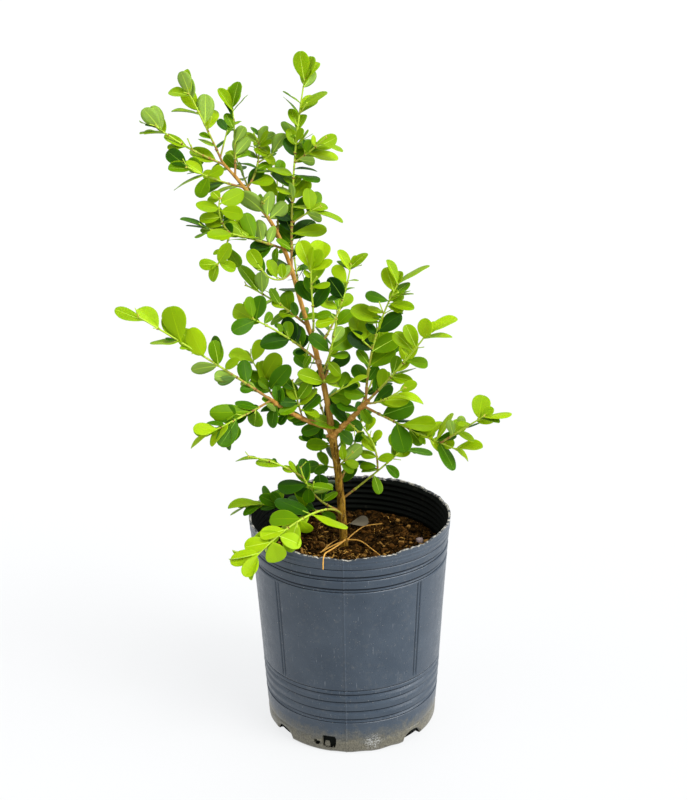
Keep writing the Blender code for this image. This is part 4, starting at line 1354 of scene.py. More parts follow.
def placed(points, matrix):
    """Points of a leaf one long, put where its matrix says."""
    place = np.array(matrix)
    return points @ place[:3, :3].T + place[:3, 3]


def add_leaf(heap, leaf, tone, rng):
    """One leaf in the place and size that the rule gave it, in a form of its own."""
    young = min(1.0, leaf.youth)
    form = LeafForm(
        wedge=rng.uniform(0.50, 0.76),
        blunt=rng.uniform(1.0, 2.3),
        cup=rng.uniform(-0.24, 0.20) + 0.35 * young * rng.random(),
        curl=rng.uniform(0.00, 0.24),
        twist=rng.uniform(-0.5, 0.5),
        bend=rng.uniform(-0.08, 0.08),
        notch=rng.uniform(0.004, 0.022),
        fold=rng.uniform(0.1, 0.9),
        wave=rng.uniform(-0.05, 0.05),
    )
    points, uvs = leaf_surface(form)
    points = placed(points, rolled(leaf, rng) if leaf.tone is None else leaf.matrix)
    level = min(LIGHTEST, max(0, round(tone)))
    lighter = min(LIGHTEST, level + 1)
    vein = VEIN_LIGHT if level > 2 else VEIN_DARK
    strips = np.full(RING, level)
    strips[MARGIN_STRIPS] = lighter
    strips[RIB_STRIP] = vein if rng.random() < PALE_RIBS else lighter
    # The back's colour follows the face's tone, so it carries the same painted light and shade.
    strips[FACE_STRIPS:] = BACK_LIGHT if level > 4 else BACK_MIDDLE if level > 2 else BACK_DARK
    strips[BACK_RIB_STRIP] = vein
    slots = np.tile(strips, len(ROWS) - 1)
    heap.add(points, (LEAF_QUADS, slots), (LEAF_CAPS, level), uvs=uvs)


# ---------------------------------------------------------------- the crown
# How light each shoot's leaves are, from 0, darkest, to 6, and how much lighter towards its tip.
# Partly the leaves' own colour, partly painted light and shade: the back and foot shoots, in shade,
# are darkest.
SHOOT_TONES = {
    "leader": (4.2, 0.6), "leader_right": (3.0, 0.4), "leader_left": (3.9, 0.4),
    "leader_low": (3.2, 0.6), "tuft_spire": (3.6, 0.8), "tuft_right": (4.2, 0.6),
    "shoulder": (3.7, 0.2), "shoulder_up": (4.2, 0.4), "shoulder_down": (3.4, 0.2),
    "spire": (3.1, 1.6), "spire_right": (3.3, 1.0), "spire_low": (3.2, 1.0),
    "front_mid": (4.9, 0.6), "front_right": (4.6, 0.8), "back_right": (3.0, 0.6),
    "right_up": (3.6, 1.2), "right_out": (4.6, 1.2), "right_near": (4.2, 0.6),
    "right_low": (3.6, 1.2), "right_low_tip": (4.6, 0.8), "foot_right": (2.6, 0.4),
    "foot_right_up": (3.0, 0.4), "foot_left": (2.0, 0.4), "foot_left_out": (2.8, 0.4),
    "foot_front": (5.7, 0.2), "foot_side": (2.3, 0.4), "long_left": (3.0, 2.6),
    "left_up": (2.8, 0.6), "left_low": (2.6, 2.0), "mid_left": (1.9, 0.6), "high_left": (4.2, 0.6),
    "high_drop": (2.0, 0.4), "left_spur": (2.6, 0.4), "fork_spur": (2.9, 0.4),
    "low_back": (2.0, 0.4), "low_back_left": (1.8, 0.4), "low_right": (2.6, 0.4),
    "high_spur": (3.8, 0.4), "fork_pair": (4.8, 0.2), "bough_under": (2.9, 0.4),
    "back_foot": (1.4, 0.6), "back_low": (1.6, 0.8), "back_fork": (1.8, 1.2),
    "back_bough": (2.0, 1.2), "back_mid": (2.0, 1.2), "back_high": (2.2, 1.4),
    "back_shoulder": (2.6, 1.4), "back_top": (2.8, 1.4), "tuft_side": (4.0, 0.4),
    "right_up_left": (3.8, 0.2),
}
TONE_SPREAD = 1.15
# A shoot on the wood whose tone is darker than this gets an older, browner twig.
YOUNG_TONE = 4.6
OLD_TWIG, YOUNG_TWIG, SIDE_TWIG = 0.34, 0.2, 0.1

# The pieces in which the crown is joined: each one's finish, and the masses that it replaces.
REGIONS = {
    "top": ("young_foliage", "leader leader_left leader_low tuft_spire tuft_right"),
    "shoulder": ("young_foliage", "shoulder high_left"),
    "front": ("young_foliage", "foot_front front_mid front_right fork_pair right_out"),
    "spire": ("foliage", "spire high_spur fork_spur"),
    "right": (
        "foliage", "right_up right_near right_low bough_under back_right low_right foot_right"
    ),
    "left": ("foliage", "long_left left_up left_low left_spur"),
    "foot": (
        "shaded_foliage", "foot_left foot_side mid_left high_drop low_back low_back_left"
    ),
    "back": (
        "shaded_foliage",
        "back_foot back_low back_fork back_bough back_mid back_high back_shoulder back_top",
    ),
}
TWIG_SHRINK = 0.80
TWIG_STEP = 0.0012
TWIG_SIDES = 8
TWIG_GREEN, TWIG_OLIVE, TWIG_BROWN, TWIG_NODE, TWIG_BUD = range(5)
# How green a twig is rises from its foot to its tip, and picks its colour.
BROWN_BELOW, OLIVE_BELOW = -0.05, 0.22
NODE_SWELL, NODE_HALF = 0.34, 0.0011
SCAR_BELOW, SCAR_HALF = 0.0006, 0.0005
# The radius of a bud along its length, both for one that is one long and as wide as it may be.
BUD_SHAPE = np.array([[0, 0.45], [0.3, 0.62], [0.65, 0.45], [0.9, 0.18], [1.0, 0.03]])
BUD_SIDES = 6


def twig_materials():
    made = [
        new_material("twig_green", (0.36, 0.50, 0.025), 0.45, 0.3),
        new_material("twig_olive", (0.30, 0.33, 0.025), 0.5, 0.3),
        new_material("twig_brown", (0.30, 0.165, 0.04), 0.7, 0.2),
        new_material("twig_node", (0.15, 0.075, 0.02), 0.8, 0.2),
        new_material("bud_scale", (0.42, 0.36, 0.05), 0.6, 0.2),
    ]
    for material in made:
        nodes = Nodes(material)
        fibre = nodes.noise(1.0, nodes.stretched((2600, 2600, 900)), detail=3.0)
        nodes.bump(fibre, 0.35, 0.0003)
    return made


def add_twig(heap, points, radii, places, age, rng):
    """A twig with a swollen node at each leaf pair. age is 0 for all green and 1 for bark."""
    steps = np.linalg.norm(np.diff(points, axis=0), axis=1)
    reach = np.concatenate([[0], np.cumsum(steps)])
    radii = radii * (1 + 0.04 * np.sin(reach * 900))
    scarred = np.zeros(len(reach))
    for place in places:
        radii = radii * (1 + NODE_SWELL * bell(reach - place, NODE_HALF))
        scarred = np.maximum(scarred, bell(reach - place + SCAR_BELOW, SCAR_HALF))
    slots = []
    for along, scar in zip(reach / max(reach[-1], 1e-6), scarred[:-1]):
        green = along + rng.uniform(-0.12, 0.12) - 0.75 * age
        if scar > 0.6 and green < 0.75:
            slots.append(TWIG_NODE)
        elif green < BROWN_BELOW:
            slots.append(TWIG_BROWN)
        else:
            slots.append(TWIG_OLIVE if green < OLIVE_BELOW else TWIG_GREEN)
    add_tube(heap, points, radii, TWIG_SIDES, slots)


def add_bud(heap, point, ahead, size):
    """A pointed bud in a leaf's axil."""
    points = np.array(point) + BUD_SHAPE[:, :1] * np.array(ahead) * size
    add_tube(heap, points, BUD_SHAPE[:, 1] * size * 0.55, BUD_SIDES, TWIG_BUD)


def make_crown(masses, fine):
    """The leaves and the twigs of each region, each kind joined into one piece."""
    leaf_kinds, twig_kinds = leaf_materials(), twig_materials()
    for region, (slot, names) in REGIONS.items():
        leaves, twigs = Heap(), Heap()
        for name in names.split():
            for shoot, shoot_leaves, stems in masses[name]:
                rng = draws(f"looks {shoot.name}")
                tone, slope = SHOOT_TONES[shoot.name]
                for leaf in shoot_leaves:
                    level = tone + slope * (leaf.youth - 0.5) * 2
                    level += rng.uniform(-1, 1) * TONE_SPREAD
                    add_leaf(leaves, leaf, level if leaf.tone is None else leaf.tone, rng)
                add_shoot_wood(twigs, shoot, fine[shoot.name], tone, rng)
                for stem in stems:
                    points, radii = resample(stem, TWIG_STEP)
                    ends = [stem.reach[-1]]
                    add_twig(twigs, points, radii * TWIG_SHRINK, ends, SIDE_TWIG, rng)
        leaves.make(f"leaves_{region}", leaf_kinds, slot, names.split())
        twigs.make(f"twigs_{region}", twig_kinds, "young_bark", names.split())


def add_shoot_wood(heap, shoot, path, tone, rng):
    """A shoot's own twig, with a node and two buds at each pair."""
    points, radii = resample(path, TWIG_STEP)
    places = [(shoot.first + pair_gap(shoot) * k) * MM for k in range(shoot.pairs)]
    on_wood = shoot.limb == "trunk" or shoot.limb.startswith("bough")
    age = OLD_TWIG if on_wood and tone < YOUNG_TONE else YOUNG_TWIG
    add_twig(heap, points, radii * TWIG_SHRINK, places, age, rng)
    for place in places:
        point, axis, _ = path.at(place)
        for side in pair_sides(axis, rng.uniform(-60, 60)):
            add_bud(heap, point, (axis * 0.8 + side).normalized(), rng.uniform(0.0012, 0.0022))


# ---------------------------------------------------------------- trunk and boughs
def wood_materials():
    """Rough mottled grey-brown bark low down, smoother orange-brown bark above it."""
    bark = new_material("bark", (0.2, 0.13, 0.06), 0.85, 0.06)
    nodes = Nodes(bark)
    along = nodes.stretched((1, 1, 0.28))
    mottle = nodes.noise(420, along, detail=5.0, rough=0.65)
    fine = nodes.noise(1500, along, detail=3.0)
    specks = nodes.noise(900, detail=2.0)
    low = nodes.fade(mottle, 0.38, 0.60, (0.075, 0.034, 0.003), (0.380, 0.215, 0.024))
    low = nodes.fade(specks, 0.62, 0.70, low, (0.36, 0.25, 0.09))
    high = nodes.fade(mottle, 0.35, 0.68, (0.33, 0.150, 0.025), (0.52, 0.310, 0.070))
    high = nodes.fade(fine, 0.60, 0.72, high, (0.16, 0.070, 0.015))
    height = nodes.maths("ADD", nodes.height(), nodes.maths("MULTIPLY", mottle, 0.03))
    nodes.colour(nodes.fade(height, 0.250, 0.285, low, high))
    nodes.bump(nodes.maths("ADD", mottle, fine), 0.9, 0.0008)
    bough = new_material("bough_bark", (0.36, 0.19, 0.07), 0.75, 0.1)
    nodes = Nodes(bough)
    mottle = nodes.noise(380, detail=4.0)
    fine = nodes.noise(1600, detail=3.0)
    tan = nodes.fade(mottle, 0.36, 0.64, (0.28, 0.120, 0.020), (0.50, 0.275, 0.060))
    nodes.colour(nodes.fade(fine, 0.60, 0.70, tan, (0.13, 0.060, 0.015)))
    nodes.bump(nodes.maths("ADD", mottle, fine), 0.5, 0.0004)
    cut = new_material("cut_wood", (0.40, 0.25, 0.11), 0.8)
    nodes = Nodes(cut)
    grain = nodes.noise(1300, detail=3.0)
    nodes.colour(nodes.fade(grain, 0.4, 0.65, (0.46, 0.30, 0.14), (0.20, 0.10, 0.04)))
    return [bark, bough, cut]


BARK, BOUGH_BARK, CUT_WOOD = range(3)
TRUNK_RING = 44
TRUNK_STEP = 0.0010
FLARE_FLUTES = 5
COLLAR_SWELL, COLLAR_HALF = 0.42, 0.0028
SCAR_RING, SCAR_RING_BELOW, SCAR_RING_HALF = 0.00012, 0.0030, 0.0006
# Each knob's place along the trunk, its heading in degrees, its length and its radius.
KNOBS = (
    (0.1595, -88, 0.0042, 0.0021),
    (0.0980, -150, 0.0022, 0.0014),
    (0.2240, -60, 0.0016, 0.0010),
)
# A knob's profile: places along it, and its radius there. Its last two bands are cut wood.
KNOB_SHAPE = np.array(
    [[0, 1.25], [0.35, 1.0], [0.7, 0.92], [0.92, 1.0], [1.0, 0.85], [0.96, 0.45], [0.93, 0.02]]
)
KNOB_SIDES = 14
BOUGH_RING = 24
BOUGH_STEP = 0.0008


def bark_relief(points, radii, sides, roughness):
    """Each side's radius at each ring: furrows and grain that run up the wood, and lumps."""
    relief = np.empty((len(points), sides))
    for i, (point, radius) in enumerate(zip(points, radii)):
        rough = roughness(point[2])
        for j in range(sides):
            around = Vector(aim(math.tau * j / sides)) * radius
            furrow = noise.noise(around * 620 + Vector((0, 0, point[2] * 95)))
            grain = noise.noise(around * 1500 + Vector((7, 3, point[2] * 420)))
            lump = noise.noise(around * 200 + Vector((1, 8, point[2] * 60)))
            relief[i, j] = radius + rough * (0.62 * furrow + 0.28 * grain) * MM + 0.10 * lump * MM
    return relief


# How slim the dressed trunk is beside its solid, by height, and how rough its bark is.
SLIM_HEIGHTS = (0.146, 0.158, 0.180, 0.290, 0.460)
SLIM_SHARES = (0.66, 0.74, 0.88, 0.86, 0.78)
ROUGH_HEIGHTS = (0.146, 0.200, 0.262, 0.300, 0.46)
ROUGH_SHARES = (0.62, 0.55, 0.48, 0.20, 0.12)


def trunk_roughness(height):
    return float(np.interp(height, ROUGH_HEIGHTS, ROUGH_SHARES))


def make_trunk(paths):
    """The trunk, with a fluted flare at the soil, a collar under each limb and a cut knob."""
    heap = Heap()
    fine = smooth_path(trunk_stations(), TRUNK_STEP)
    points, radii = np.array([list(p) for p in fine.points]), np.array(fine.radii)
    radii = radii * np.interp(points[:, 2], SLIM_HEIGHTS, SLIM_SHARES)
    relief = bark_relief(points, radii, TRUNK_RING, trunk_roughness)
    turn = math.tau * np.arange(TRUNK_RING) / TRUNK_RING
    foot = np.exp(-((points[:, 2] - points[0, 2]) / 0.004))[:, None]
    relief += foot * (0.0004 + 0.0004 * np.cos(turn * FLARE_FLUTES + 0.6))
    _, across, over = axes_along(points)
    for name, limb_at, thick in trunk_limbs():
        spot, _, _ = paths["trunk"].at(limb_at * MM)
        nearest = int(np.argmin(np.linalg.norm(points - np.array(spot), axis=1)))
        way = np.array(limb_way(name))
        local = math.atan2(way @ over[nearest], way @ across[nearest])
        height = (np.arange(len(points)) - nearest)[:, None] * TRUNK_STEP
        bulge = bell(wrapped(turn - local), 0.75)[None, :] * bell(height, COLLAR_HALF)
        relief += thick * COLLAR_SWELL * bulge
        relief += SCAR_RING * bell(height + SCAR_RING_BELOW, SCAR_RING_HALF)
    add_tube(heap, points, relief, TRUNK_RING, BARK)
    for knob in KNOBS:
        add_knob(heap, fine, *knob)
    return heap


def trunk_limbs():
    """(name, how far along the trunk, half thickness) of each limb on it."""
    for bough in BOUGHS:
        yield bough.name, bough.at, bough.thick / 2 * MM
    for shoot in SHOOTS:
        if shoot.limb == "trunk":
            yield shoot.name, shoot.at, STEM_THICK * TWIG_SHRINK


def limb_way(name):
    """The way in which a limb sets out."""
    limb = next(limb for limb in BOUGHS + SHOOTS if limb.name == name)
    return aim(math.radians(limb.heading), math.radians(limb.rise))


def add_knob(heap, path, along, heading, length, radius):
    """The stub of a shoot that was cut off, healed round its edge."""
    point, _, thick = path.at(along)
    turn = math.radians(heading)
    way = np.array((math.cos(turn), math.sin(turn), 0.35))
    way /= np.linalg.norm(way)
    start = np.array(point) + way * thick * 0.5
    points = start + KNOB_SHAPE[:, :1] * way * (length + thick * 0.5)
    wobble = np.array([
        [1 + 0.12 * noise.noise(Vector((i * 0.9, j * 1.3, along * 50))) for j in range(KNOB_SIDES)]
        for i in range(len(KNOB_SHAPE))
    ])
    straight = np.array([start + way * i * 0.0002 for i in range(len(KNOB_SHAPE))])
    _, across, over = axes_along(straight)
    angle = math.tau * np.arange(KNOB_SIDES) / KNOB_SIDES
    out = across[0] * np.cos(angle)[:, None] + over[0] * np.sin(angle)[:, None]
    rings = points[:, None] + out * (KNOB_SHAPE[:, 1:] * radius * wobble)[..., None]
    heap.add_rings(rings, KNOB_SIDES, [BOUGH_BARK] * 4 + [CUT_WOOD] * 2)


def make_bough(bough, paths):
    """A bough from the middle of the trunk, thick where it sets out, with its nodes."""
    heap = Heap()
    start = paths[bough.limb].at(bough.at * MM)[0]
    arc = arc_path(start, bough, bough.thick / 2 * MM, bough.thin / 2 * MM, keep=1)
    points, radii = resample(arc, BOUGH_STEP)
    reach = np.linspace(0, arc.reach[-1], len(points))
    radii = radii * (1 + 0.40 * np.exp(-((reach - 0.003) / 0.0035)))
    rng = draws(f"bough {bough.name}")
    for shoot in SHOOTS:
        if shoot.limb == bough.name:
            radii = radii * (1 + 0.20 * bell(reach - shoot.at * MM, 0.0016))
    for _ in range(4):
        radii = radii * (1 + 0.10 * bell(reach - rng.uniform(0.008, arc.reach[-1]), 0.0009))
    relief = bark_relief(points, radii, BOUGH_RING, lambda height: 0.16)
    add_tube(heap, points, relief, BOUGH_RING, BOUGH_BARK)
    return heap


# ---------------------------------------------------------------- the pot
# The second, fourth and fifth slots are painted shade: in the grooves, inside the pot, and in the
# drain holes and under the foot.
POT_PLASTIC, POT_GROOVE_SHADE, POT_RIM, POT_INSIDE_SHADE, POT_SHADE_BLACK = range(5)
PANEL_EDGES = (-46.8, 42.8)
PANEL_TOP, PANEL_FOOT = 0.1455, 0.0600
PANEL_GROOVE, PANEL_GROOVE_GAP = 0.0011, 0.0032
PANEL_DEPTH = 0.0010
PANEL_END = 0.002
SHELL = 0.0015
FOOT_WAVES = 0.0016
RIM_DIP = math.radians(-91)
RIM_DIP_HALF, RIM_DIP_DEPTH = 0.085, 0.0016
RIM_TEETH = 0.0011
RIM_SAG, RIM_SAG_HALF = 0.0019, math.radians(27)
SCUFF_PLACE = (0.0165, -0.0680, 0.0095)
SCUFF_NEAR, SCUFF_FAR = 0.0035, 0.0085
RIDGES = (0.1722, 0.1690)
RIDGE_HEIGHT, RIDGE_HALF = 0.00035, 0.0008
SEAM_RISE, SEAM_HALF = 0.00045, 0.0005
# A shallow dent runs round above the foot, and the foot's edge follows its notches up to there.
DENT_LEVEL, DENT_DEPTH, DENT_HALF = 0.012, 0.0007, 0.003
# The rim's cut moves what stands above this level.
RIM_FROM = 0.1722
WOBBLE = 0.00035
HOLE_DEPTH = 0.0035
# The drain holes on one side: heading, width, height, and how high the hole's foot is.
DRAINS = (
    (DRAIN_ANGLE, DRAIN_WIDTH, DRAIN_HEIGHT, DRAIN_BASE),
    (DRAIN_ANGLE - 0.155, 0.0046, 0.0034, 0.0056),
)
# A torn flap in one of them: height, half its width, and how far it leans in, in millimetres.
FLAP = ((4.5, 2.4, 0.4), (7.0, 2.2, 0.9), (9.0, 1.6, 1.6), (10.4, 0.9, 2.4))
INSIDE_RINGS = 0.0047
INSIDE_RING_DEPTH = 0.0008
INSIDE_TOP = 0.1738
INSIDE_HEIGHTS = [INSIDE_TOP - 0.0008 * i for i in range(33)]
INSIDE_HEIGHTS += [0.146, 0.140, 0.10, 0.05, 0.012, 0.005]
# Profiles of the rim, how far out of its edge and above it, and of the floor inside and below,
# radius and height, with whether the foot's notches lift it.
RIM_PROFILE = ((0.0003, -0.0004), (-0.0007, 0.0), (-SHELL, -0.0004), (-SHELL - 0.0001, -0.0016))
FLOOR_PROFILE = ((0.060, 0.0030), (0.03, 0.0026), (0.004, 0.0026))
UNDER_PROFILE = ((0.0655, 0.0002, 1), (0.0640, 0.0006, 0), (0.03, 0.0010, 0), (0.004, 0.0010, 0))
GROOVES = ((UPPER_GROOVES, UPPER_GROOVE_WIDTH), (LOWER_GROOVES, LOWER_GROOVE_WIDTH))
# A groove's profile: places down from its top, in its widths, and how deep it is there.
GROOVE_DOWN = (0, 0.10, 0.40, 1.0, 1.15, 1.5)
GROOVE_SHARES = (0, 1, 0.95, 0, -0.12, 0)
# The share of a groove's width, from its top, that is painted dark, as painted shade under its
# undercut.
GROOVE_SHADE = 0.48


def pot_materials():
    plastic = new_material("pot_plastic", (0.05, 0.07, 0.095), 0.40, 0.40)
    nodes = Nodes(plastic)
    cloudy = nodes.noise(38, detail=5.0, rough=0.62)
    grime = nodes.noise(170, detail=5.0, rough=0.7)
    specks = nodes.noise(950, detail=2.0)
    base = nodes.fade(cloudy, 0.35, 0.68, (0.025, 0.039, 0.058), (0.038, 0.054, 0.075))
    base = nodes.fade(grime, 0.56, 0.80, base, (0.15, 0.145, 0.13), 0.30)
    base = nodes.fade(specks, 0.695, 0.74, base, (0.33, 0.31, 0.27), 0.7)
    scratch = nodes.noise(1.0, nodes.stretched((1100, 1100, 40), turn=(0.25, 0.1, 0)), detail=2.0)
    base = nodes.fade(scratch, 0.70, 0.76, base, (0.40, 0.42, 0.44), 0.35)
    mud_edge = nodes.maths("SUBTRACT", nodes.height(), nodes.maths("MULTIPLY", grime, 0.024))
    mud = nodes.ramp(mud_edge, 0.011, -0.003, 0.0, 0.92)
    dried = nodes.fade(specks, 0.38, 0.62, (0.070, 0.064, 0.044), (0.150, 0.138, 0.098))
    base = nodes.mix(mud, base, dried)
    scuffed = nodes.ramp(nodes.distance(SCUFF_PLACE), SCUFF_FAR, SCUFF_NEAR)
    scuffed = nodes.maths("MULTIPLY", scuffed, nodes.ramp(specks, 0.50, 0.60, 0.0, 0.8))
    nodes.colour(nodes.mix(scuffed, base, (0.34, 0.35, 0.35)))
    nodes.roughness(nodes.ramp(grime, 0.35, 0.7, 0.27, 0.46))
    nodes.bump(nodes.maths("ADD", nodes.maths("MULTIPLY", cloudy, 2.0), specks), 0.25, 0.0005)
    # Painted shade: a near-black colour on the grooves' undercuts and the thin lines, for the shade
    # in them.
    line = new_material("pot_line", (0.012, 0.016, 0.022), 0.6, 0.1)
    rim = new_material("pot_rim", (0.30, 0.29, 0.26), 0.6, 0.3)
    nodes = Nodes(rim)
    chipped = nodes.noise(300, detail=4.0)
    nodes.colour(nodes.fade(chipped, 0.44, 0.60, (0.030, 0.036, 0.044), (0.40, 0.38, 0.33)))
    nodes.bump(nodes.noise(900), 0.5, 0.0004)
    # Painted shade: far darker than the same plastic outside, for the shade inside the pot; the
    # paler mottle is dust.
    inside = new_material("pot_inside", (0.006, 0.007, 0.006), 0.55, 0.05)
    nodes = Nodes(inside)
    dust = nodes.noise(120, detail=5.0, rough=0.7)
    nodes.colour(nodes.fade(dust, 0.60, 0.80, (0.0025, 0.0035, 0.0025), (0.026, 0.024, 0.016)))
    nodes.bump(nodes.noise(600), 0.2, 0.0003)
    # Painted shade: a black colour for the drain holes and the whole underside, where shade falls.
    shade_black = new_material("pot_void", (0.003, 0.003, 0.003), 1.0, 0.0)
    return [plastic, line, rim, inside, shade_black]


def noise_round(turn, scale, level):
    """Smooth noise round a circle: the greater the scale, the finer."""
    spots = [(math.cos(t) * scale, math.sin(t) * scale, level) for t in turn]
    return np.array([noise.noise(Vector(spot)) for spot in spots])


def rim_height(turn):
    """The hand-cut rim: the source's bites, softened, a torn dip in front, and small teeth."""
    rng = draws("rim")
    low = np.zeros_like(turn)
    for i in range(RIM_BITES):
        middle = math.tau * (i + rng.uniform(0.2, 0.8)) / RIM_BITES
        depth = RIM_BITE_DEPTH * rng.uniform(0.4, 1.0)
        half = rng.uniform(0.010, 0.022) / 2 / RIM_RADIUS
        away = np.abs(wrapped(turn - middle)) / half
        low = np.maximum(low, depth * np.clip(2.2 - 1.8 * away, 0, 1))
    dip = np.abs(wrapped(turn - RIM_DIP)) / RIM_DIP_HALF
    low = np.maximum(low, RIM_DIP_DEPTH * np.clip(1 - dip, 0, 1) ** 0.8)
    low = low + RIM_SAG * bell(wrapped(turn - RIM_DIP), RIM_SAG_HALF)
    teeth = np.clip(noise_round(turn, 22, 4) + 0.1, 0, 1)
    fine = np.clip(noise_round(turn, 58, 9), 0, 1)
    return POT_HEIGHT - low - RIM_TEETH * teeth - RIM_TEETH * fine


def foot_height(turn):
    """How high the foot's notches reach."""
    high = np.zeros_like(turn)
    for middle in (SEAM_ANGLE, SEAM_ANGLE + math.pi):
        for side in (-1, 1):
            away = np.abs(wrapped(turn - middle - side * NOTCH_SPREAD)) * FOOT_RADIUS
            share = np.clip(away / (NOTCH_WIDTH / 2), 0, 1)
            high = np.maximum(high, NOTCH_HEIGHT * (1 - share**2.4) ** 0.7)
    return high + FOOT_WAVES * np.clip(noise_round(turn, 4, 6), 0, 1)


def groove(height, top, width):
    """A groove's depth: a sharp undercut at its top, a slope out, and a slight lip below."""
    return np.interp((top - height) / width, GROOVE_DOWN, GROOVE_SHARES)


def panel_edges():
    """The headings of the two panels' sides."""
    for half in (0, math.pi):
        for edge in PANEL_EDGES:
            yield -math.pi / 2 + half + math.radians(edge)


def pot_radius(turn, height):
    """The outside's radius, with its grooves, lines, ridges, panels, seams and foot."""
    radius = outer_radius(height)
    for tops, width in GROOVES:
        for top in tops:
            radius = radius - GROOVE_DEPTH * groove(height, top, width)
    for line in THIN_LINES:
        away = np.abs(height - line) / THIN_LINE_HALF
        radius = radius - THIN_LINE_DEPTH * np.clip(1 - away, 0, 1)
    for ridge in RIDGES:
        radius = radius + RIDGE_HEIGHT * bell(height - ridge, RIDGE_HALF)
    in_panel = np.clip((height - PANEL_FOOT) / PANEL_END, 0, 1)
    in_panel = in_panel * np.clip((PANEL_TOP - height) / PANEL_END, 0, 1)
    for middle in panel_edges():
        for line in (-0.5, 0.5):
            away = wrapped(turn - middle) * RIM_RADIUS + line * PANEL_GROOVE_GAP
            radius = radius - PANEL_DEPTH * in_panel * bell(away, PANEL_GROOVE / 2)
    for half in (0, math.pi):
        seam = wrapped(turn - SEAM_ANGLE - half) * RIM_RADIUS
        radius = radius + SEAM_RISE * bell(seam, SEAM_HALF)
    foot = np.clip(1 - height / FOOT_CORNER, 0, 1)
    radius = radius - FOOT_CORNER * 0.6 * foot**2
    return radius - DENT_DEPTH * np.clip(1 - np.abs(height - DENT_LEVEL) / DENT_HALF, 0, 1)


def thinned(values, gap):
    """The values in order, without those that come within the gap after another."""
    values = np.array(sorted(values))
    return values[np.concatenate([[True], np.diff(values) > gap])]


def pot_turns():
    """The grid's columns: even all round, and closer where something thin runs down."""
    turns = set(np.round(np.radians(np.arange(0, 360, 1.2)), 5))

    def add_close(middle, half, count):
        turns.update(np.round((middle + np.linspace(-half, half, count)) % math.tau, 5))

    for middle in panel_edges():
        add_close(middle, 0.042, 25)
    for seam, drain in ((SEAM_ANGLE, DRAIN_ANGLE), (SEAM_ANGLE + math.pi, DRAIN_ANGLE + math.pi)):
        add_close(seam, 0.014, 9)
        add_close(drain, 0.11, 33)
        for side in (-NOTCH_SPREAD, NOTCH_SPREAD):
            for edge in (-NOTCH_WIDTH / 2, NOTCH_WIDTH / 2):
                add_close(seam + side + edge / FOOT_RADIUS, 0.03, 9)
    return thinned(turns, 0.0015)


def pot_rows():
    """The grid's rows up the outside."""
    rows = set(np.round(np.arange(0, POT_HEIGHT + 0.0001, 0.004), 5))
    rows |= set(np.round(np.arange(0, 0.016, 0.0009), 5))
    for tops, width in GROOVES:
        for top in tops:
            rows |= set(np.round(top - width * np.array((*GROOVE_DOWN, 0.05, 0.6)), 5))
    for line in THIN_LINES:
        rows |= set(np.round(line + THIN_LINE_HALF * np.array((-1, -0.45, 0, 0.45, 1)), 5))
    for ridge in RIDGES:
        rows |= set(np.round(ridge + np.linspace(-0.0016, 0.0016, 7), 5))
    rows |= {PANEL_TOP, PANEL_TOP - PANEL_END, PANEL_FOOT, PANEL_FOOT + PANEL_END}
    rows |= {0.1740, 0.1760, POT_HEIGHT}
    return thinned(rows, 0.00015)


def pot_outside(turn, rows, top, foot):
    """The rings up the outside, and which of their points are in a drain hole."""
    rings, holes = [], []
    for row in rows:
        height = np.where(row < DENT_LEVEL, foot + row * (1 - foot / DENT_LEVEL), row)
        cut = RIM_FROM + (row - RIM_FROM) * (top - RIM_FROM) / (POT_HEIGHT - RIM_FROM)
        height = np.where(row > RIM_FROM, cut, height)
        shift = WOBBLE * noise_round(turn, 2.2, row * 14)
        radius = pot_radius(turn, np.full(len(turn), row)) + shift * min(1, row / 0.02)
        hole = drain_hole(turn, height)
        radius = radius - HOLE_DEPTH * hole
        rings.append(np.stack([radius * np.cos(turn), radius * np.sin(turn), height], -1))
        holes.append(hole > 0.5)
    return rings, np.array(holes)


def outside_slots(rows, holes):
    """The material of each face of the outside: painted shade in the grooves and thin lines,
    painted black in the drain holes.
    """
    slots = np.full((len(rows) - 1, holes.shape[1]), POT_PLASTIC)
    middles = (rows[:-1] + rows[1:]) / 2
    for tops, width in GROOVES:
        for high in tops:
            down = (high - middles) / width
            slots[(down > 0.0) & (down < GROOVE_SHADE)] = POT_GROOVE_SHADE
    for line in THIN_LINES:
        slots[np.abs(middles - line) < THIN_LINE_HALF * 0.5] = POT_GROOVE_SHADE
    in_hole = holes[:-1] | holes[1:]
    # Painted shade: the drain holes are shallow hollows painted black.
    slots[in_hole & np.roll(in_hole, -1, axis=1)] = POT_SHADE_BLACK
    return slots.ravel()


